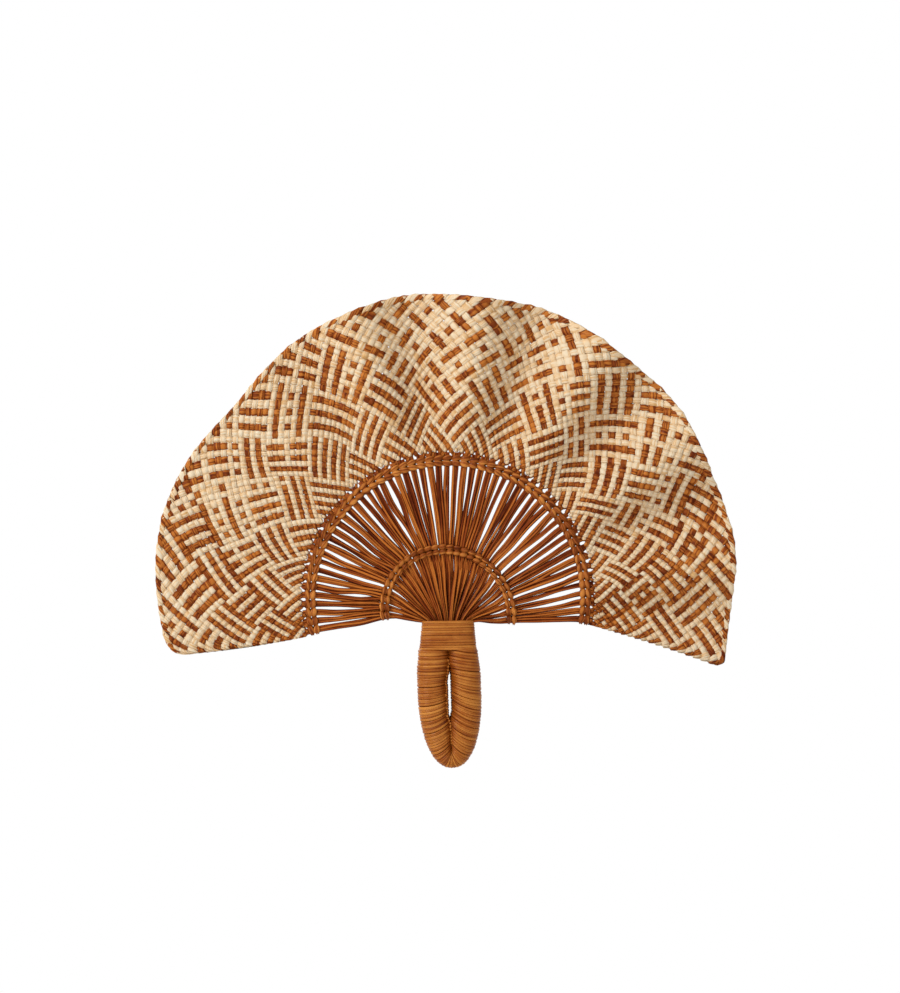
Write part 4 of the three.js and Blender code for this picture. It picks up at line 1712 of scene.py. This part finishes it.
    def slit_knots(self) -> Ribbon:
        """The row of small knots down the left side of the slit: a strand that swells at each knot.

        Returns:
            The strand's ribbon.
        """
        count = np.linspace(0, self.knots, self.knots * self.samples // 2 + 1)
        along = mix(*self.knot_span, count / self.knots)
        around = np.pi * (self.knot_place + drift(count, self.rng, *self.knot_drift))
        lift = self.loop_wrap.facing * self.knot_lift * self.loop_wrap.thickness
        line = lifted(self.loop_at, along, around, np.full_like(along, lift))
        swell = np.abs(np.sin(np.pi * count))
        half = 0.5 * self.knot_width * mix(self.knot_waist, 1.0, swell)
        half = half * (1 + drift(count, self.rng, *self.knot_width_drift))
        # Painted light on each knot's swell and painted shade in the waists between knots
        return Ribbon(tube(line, half, half), mix(*self.knot_light_and_shade, swell), fold=self.samples)

    def build(self) -> None:
        """Builds the core, the loop's winding, the collar and the knots at the slit."""
        core = RibbonPiece("gathered_core", RIB_LEAF, "palm_bundle", ("handle_core",))
        core.ribbons.append(self.core())
        core.build()
        loop = RibbonPiece("loop_wrap", WRAP_LEAF, "palm_wrap", ("handle_winding",))
        loop.ribbons.append(self.winding(self.loop_at, self.loop_wrap))
        loop.build()
        collar = RibbonPiece("collar_wrap", WRAP_LEAF, "palm_wrap", ("collar_winding",))
        collar.ribbons.append(self.winding(self.collar_at, self.collar_wrap))
        collar.build()
        knots = RibbonPiece("slit_knots", WRAP_LEAF, "palm_wrap", ("handle_winding",))
        knots.ribbons.append(self.slit_knots())
        knots.build()


@dataclass(frozen=True)
class Lamp:
    """A square soft lamp, in metres and watts."""

    name: str
    place: Triple
    size: float
    power: float

    def build(self, aim: Triple) -> None:
        """Adds the lamp and faces it to a point: from straight down it tips up, and turns to its heading.

        Args:
            aim: The point, in metres.
        """
        data = bpy.data.lights.new(self.name, "AREA")
        data.size = self.size
        data.energy = self.power
        lamp = put_in_scene(self.name, data)
        way = np.array(aim) - np.array(self.place)
        tilt = math.acos(-way[2] / np.linalg.norm(way))
        heading = math.atan2(way[1], way[0]) - math.pi / 2
        lamp.location = self.place
        lamp.rotation_euler = (tilt, 0.0, heading)


@dataclass
class Studio:
    """Plain white surroundings, soft light from the upper left, and a long lens square to the fan.

    The scale is millimetres to a pixel. The lamps' aim and the floor's fade are in metres.
    """

    scale: float = 0.692
    frame_size: tuple[int, int] = (900, 993)
    origin_pixel: Pair = (448.0, 693.0)
    distance: float = 2500.0
    sensor: float = 36.0
    aim: Triple = (0.0, 0.0, 0.12)
    lamps: tuple[Lamp, ...] = (
        Lamp(name="key", place=(-1.5, -1.2, 1.4), size=0.8, power=39.0),
        Lamp(name="front_fill", place=(0.6, -2.2, 0.5), size=1.4, power=8.0),
        Lamp(name="back_fill", place=(-0.8, 2.0, 1.2), size=1.2, power=22.0),
    )
    fill: float = 0.5
    floor_drop: float = 330.0
    floor_reach: float = 6000.0
    floor_fade: Pair = (0.4, 1.1)
    floor_grey: float = 0.9
    floor_roughness: float = 0.9

    def camera(self) -> None:
        """Sets the camera so that one pixel of the frame covers the scale at the fan's plane."""
        data = bpy.data.cameras.new("camera")
        data.sensor_width = self.sensor
        data.lens = self.sensor * self.distance / (max(self.frame_size) * self.scale)
        camera = put_in_scene("camera", data)
        x = (self.frame_size[0] / 2 - self.origin_pixel[0]) * self.scale
        z = (self.origin_pixel[1] - self.frame_size[1] / 2) * self.scale
        camera.location = (x * MM, -self.distance * MM, z * MM)
        camera.rotation_euler = (math.pi / 2, 0.0, 0.0)
        bpy.context.scene.camera = camera

    def world(self) -> None:
        """White where it is seen, and an even fill on the object."""
        world = bpy.data.worlds.new("white_room")
        bpy.context.scene.world = world
        world.use_nodes = True
        nodes = world.node_tree.nodes
        maker = NodeMaker(world.node_tree)
        white = (1.0, 1.0, 1.0, 1.0)
        maker.feed(nodes["Background"], {"Color": white, "Strength": self.fill})
        choose = maker.add("MixShader", {
            "Fac": maker.seen_rays(),
            1: nodes["Background"].outputs["Background"],
            2: maker.add("Background", {"Color": white}).outputs["Background"],
        })
        maker.feed(nodes["World Output"], {"Surface": choose.outputs["Shader"]})

    def floor_material(self) -> bpy.types.Material:
        """Pale paper below the fan, which goes over into the white background away from it.

        Returns:
            The new material.
        """
        material = bpy.data.materials.new("pale_floor")
        material.use_nodes = True
        nodes = material.node_tree.nodes
        maker = NodeMaker(material.node_tree)
        maker.feed(nodes["Principled BSDF"], {
            "Base Color": (self.floor_grey, self.floor_grey, self.floor_grey, 1.0),
            "Roughness": self.floor_roughness,
        })
        away = maker.add("VectorMath", {0: maker.add("TexCoord").outputs["Object"]})
        away.operation = "LENGTH"
        fade = maker.add("MapRange", {
            "Value": away.outputs["Value"],
            "From Min": self.floor_fade[0],
            "From Max": self.floor_fade[1],
        })
        choose = maker.add("MixShader", {
            "Fac": maker.math("MULTIPLY", fade.outputs["Result"], maker.seen_rays()),
            1: nodes["Principled BSDF"].outputs["BSDF"],
            2: maker.add("Emission").outputs["Emission"],
        })
        maker.feed(nodes["Material Output"], {"Surface": choose.outputs["Shader"]})
        return material

    def floor(self) -> None:
        """Adds a plain square floor below the fan."""
        low = float(node_box("handle_winding")[0][2]) - self.floor_drop
        around = ((-1, -1), (1, -1), (1, 1), (-1, 1))
        corners = np.array([(x * self.floor_reach, y * self.floor_reach, low) for x, y in around])
        mesh = grid_mesh("floor", corners, np.array([[0, 1, 2, 3]]))
        mesh.materials.append(self.floor_material())
        put_in_scene("floor", mesh)

    def build(self) -> None:
        """Sets up the view, the camera, the lamps, the background and the floor."""
        bpy.context.scene.view_settings.view_transform = "Standard"
        self.camera()
        for lamp in self.lamps:
            lamp.build(self.aim)
        self.world()
        self.floor()


def twined_rows(spray: RibSpray) -> list[TwinedRow]:
    """The inner ring, of doubled strands, and the band's two rows.

    Args:
        spray: The ribs that they hold.

    Returns:
        The three rows.
    """
    tines = spray.tine_angle(np.arange(2 * spray.bundles))
    ring = TwinedRow(
        name="inner_ring_twine",
        nodes=("inner_ring_weft_a", "inner_ring_weft_b"),
        centre_z=spray.ring_centre,
        radius=spray.ring_radius,
        angles=np.unwrap([spray.ring_angle(bundle) for bundle in range(spray.bundles)]),
        strand_places=(-1.75, 1.75),
        width=4.1,
        swing=2.4,
        sway=0.4,
        tones=(0.5, 0.35),
        thickness=3.0,
        crossing_width=0.25,
        tilt=spray.ring_tilt,
    )
    bands = [
        TwinedRow(
            name=f"band_twine_{number}",
            nodes=(f"outer_band_weft_{number}a", f"outer_band_weft_{number}b"),
            centre_z=spray.fan_centre,
            radius=radius,
            angles=tines,
            strand_places=(0.0,),
            width=width,
            swing=1.5,
            sway=sway,
            tones=tones,
            thickness=1.9,
            crossing_width=0.4,
        )
        for number, radius, width, sway, tones in (
            (1, 93.4, 4.7, -0.6, (0.75, 0.4)),
            (2, 97.0, 4.1, 0.6, (0.5, 0.35)),
        )
    ]
    return [ring, *bands]


def main() -> None:
    """Builds the surroundings, and then the fan from the blade down to the grip."""
    logging.basicConfig(level=logging.INFO, format="%(message)s")
    Studio().build()
    PlaitedBlade().build()
    spray = RibSpray()
    spray.build()
    rng = np.random.default_rng(SEED + 3)
    for row in twined_rows(spray):
        row.build(rng)
    Grip().build()


if __name__ == "__main__":
    main()
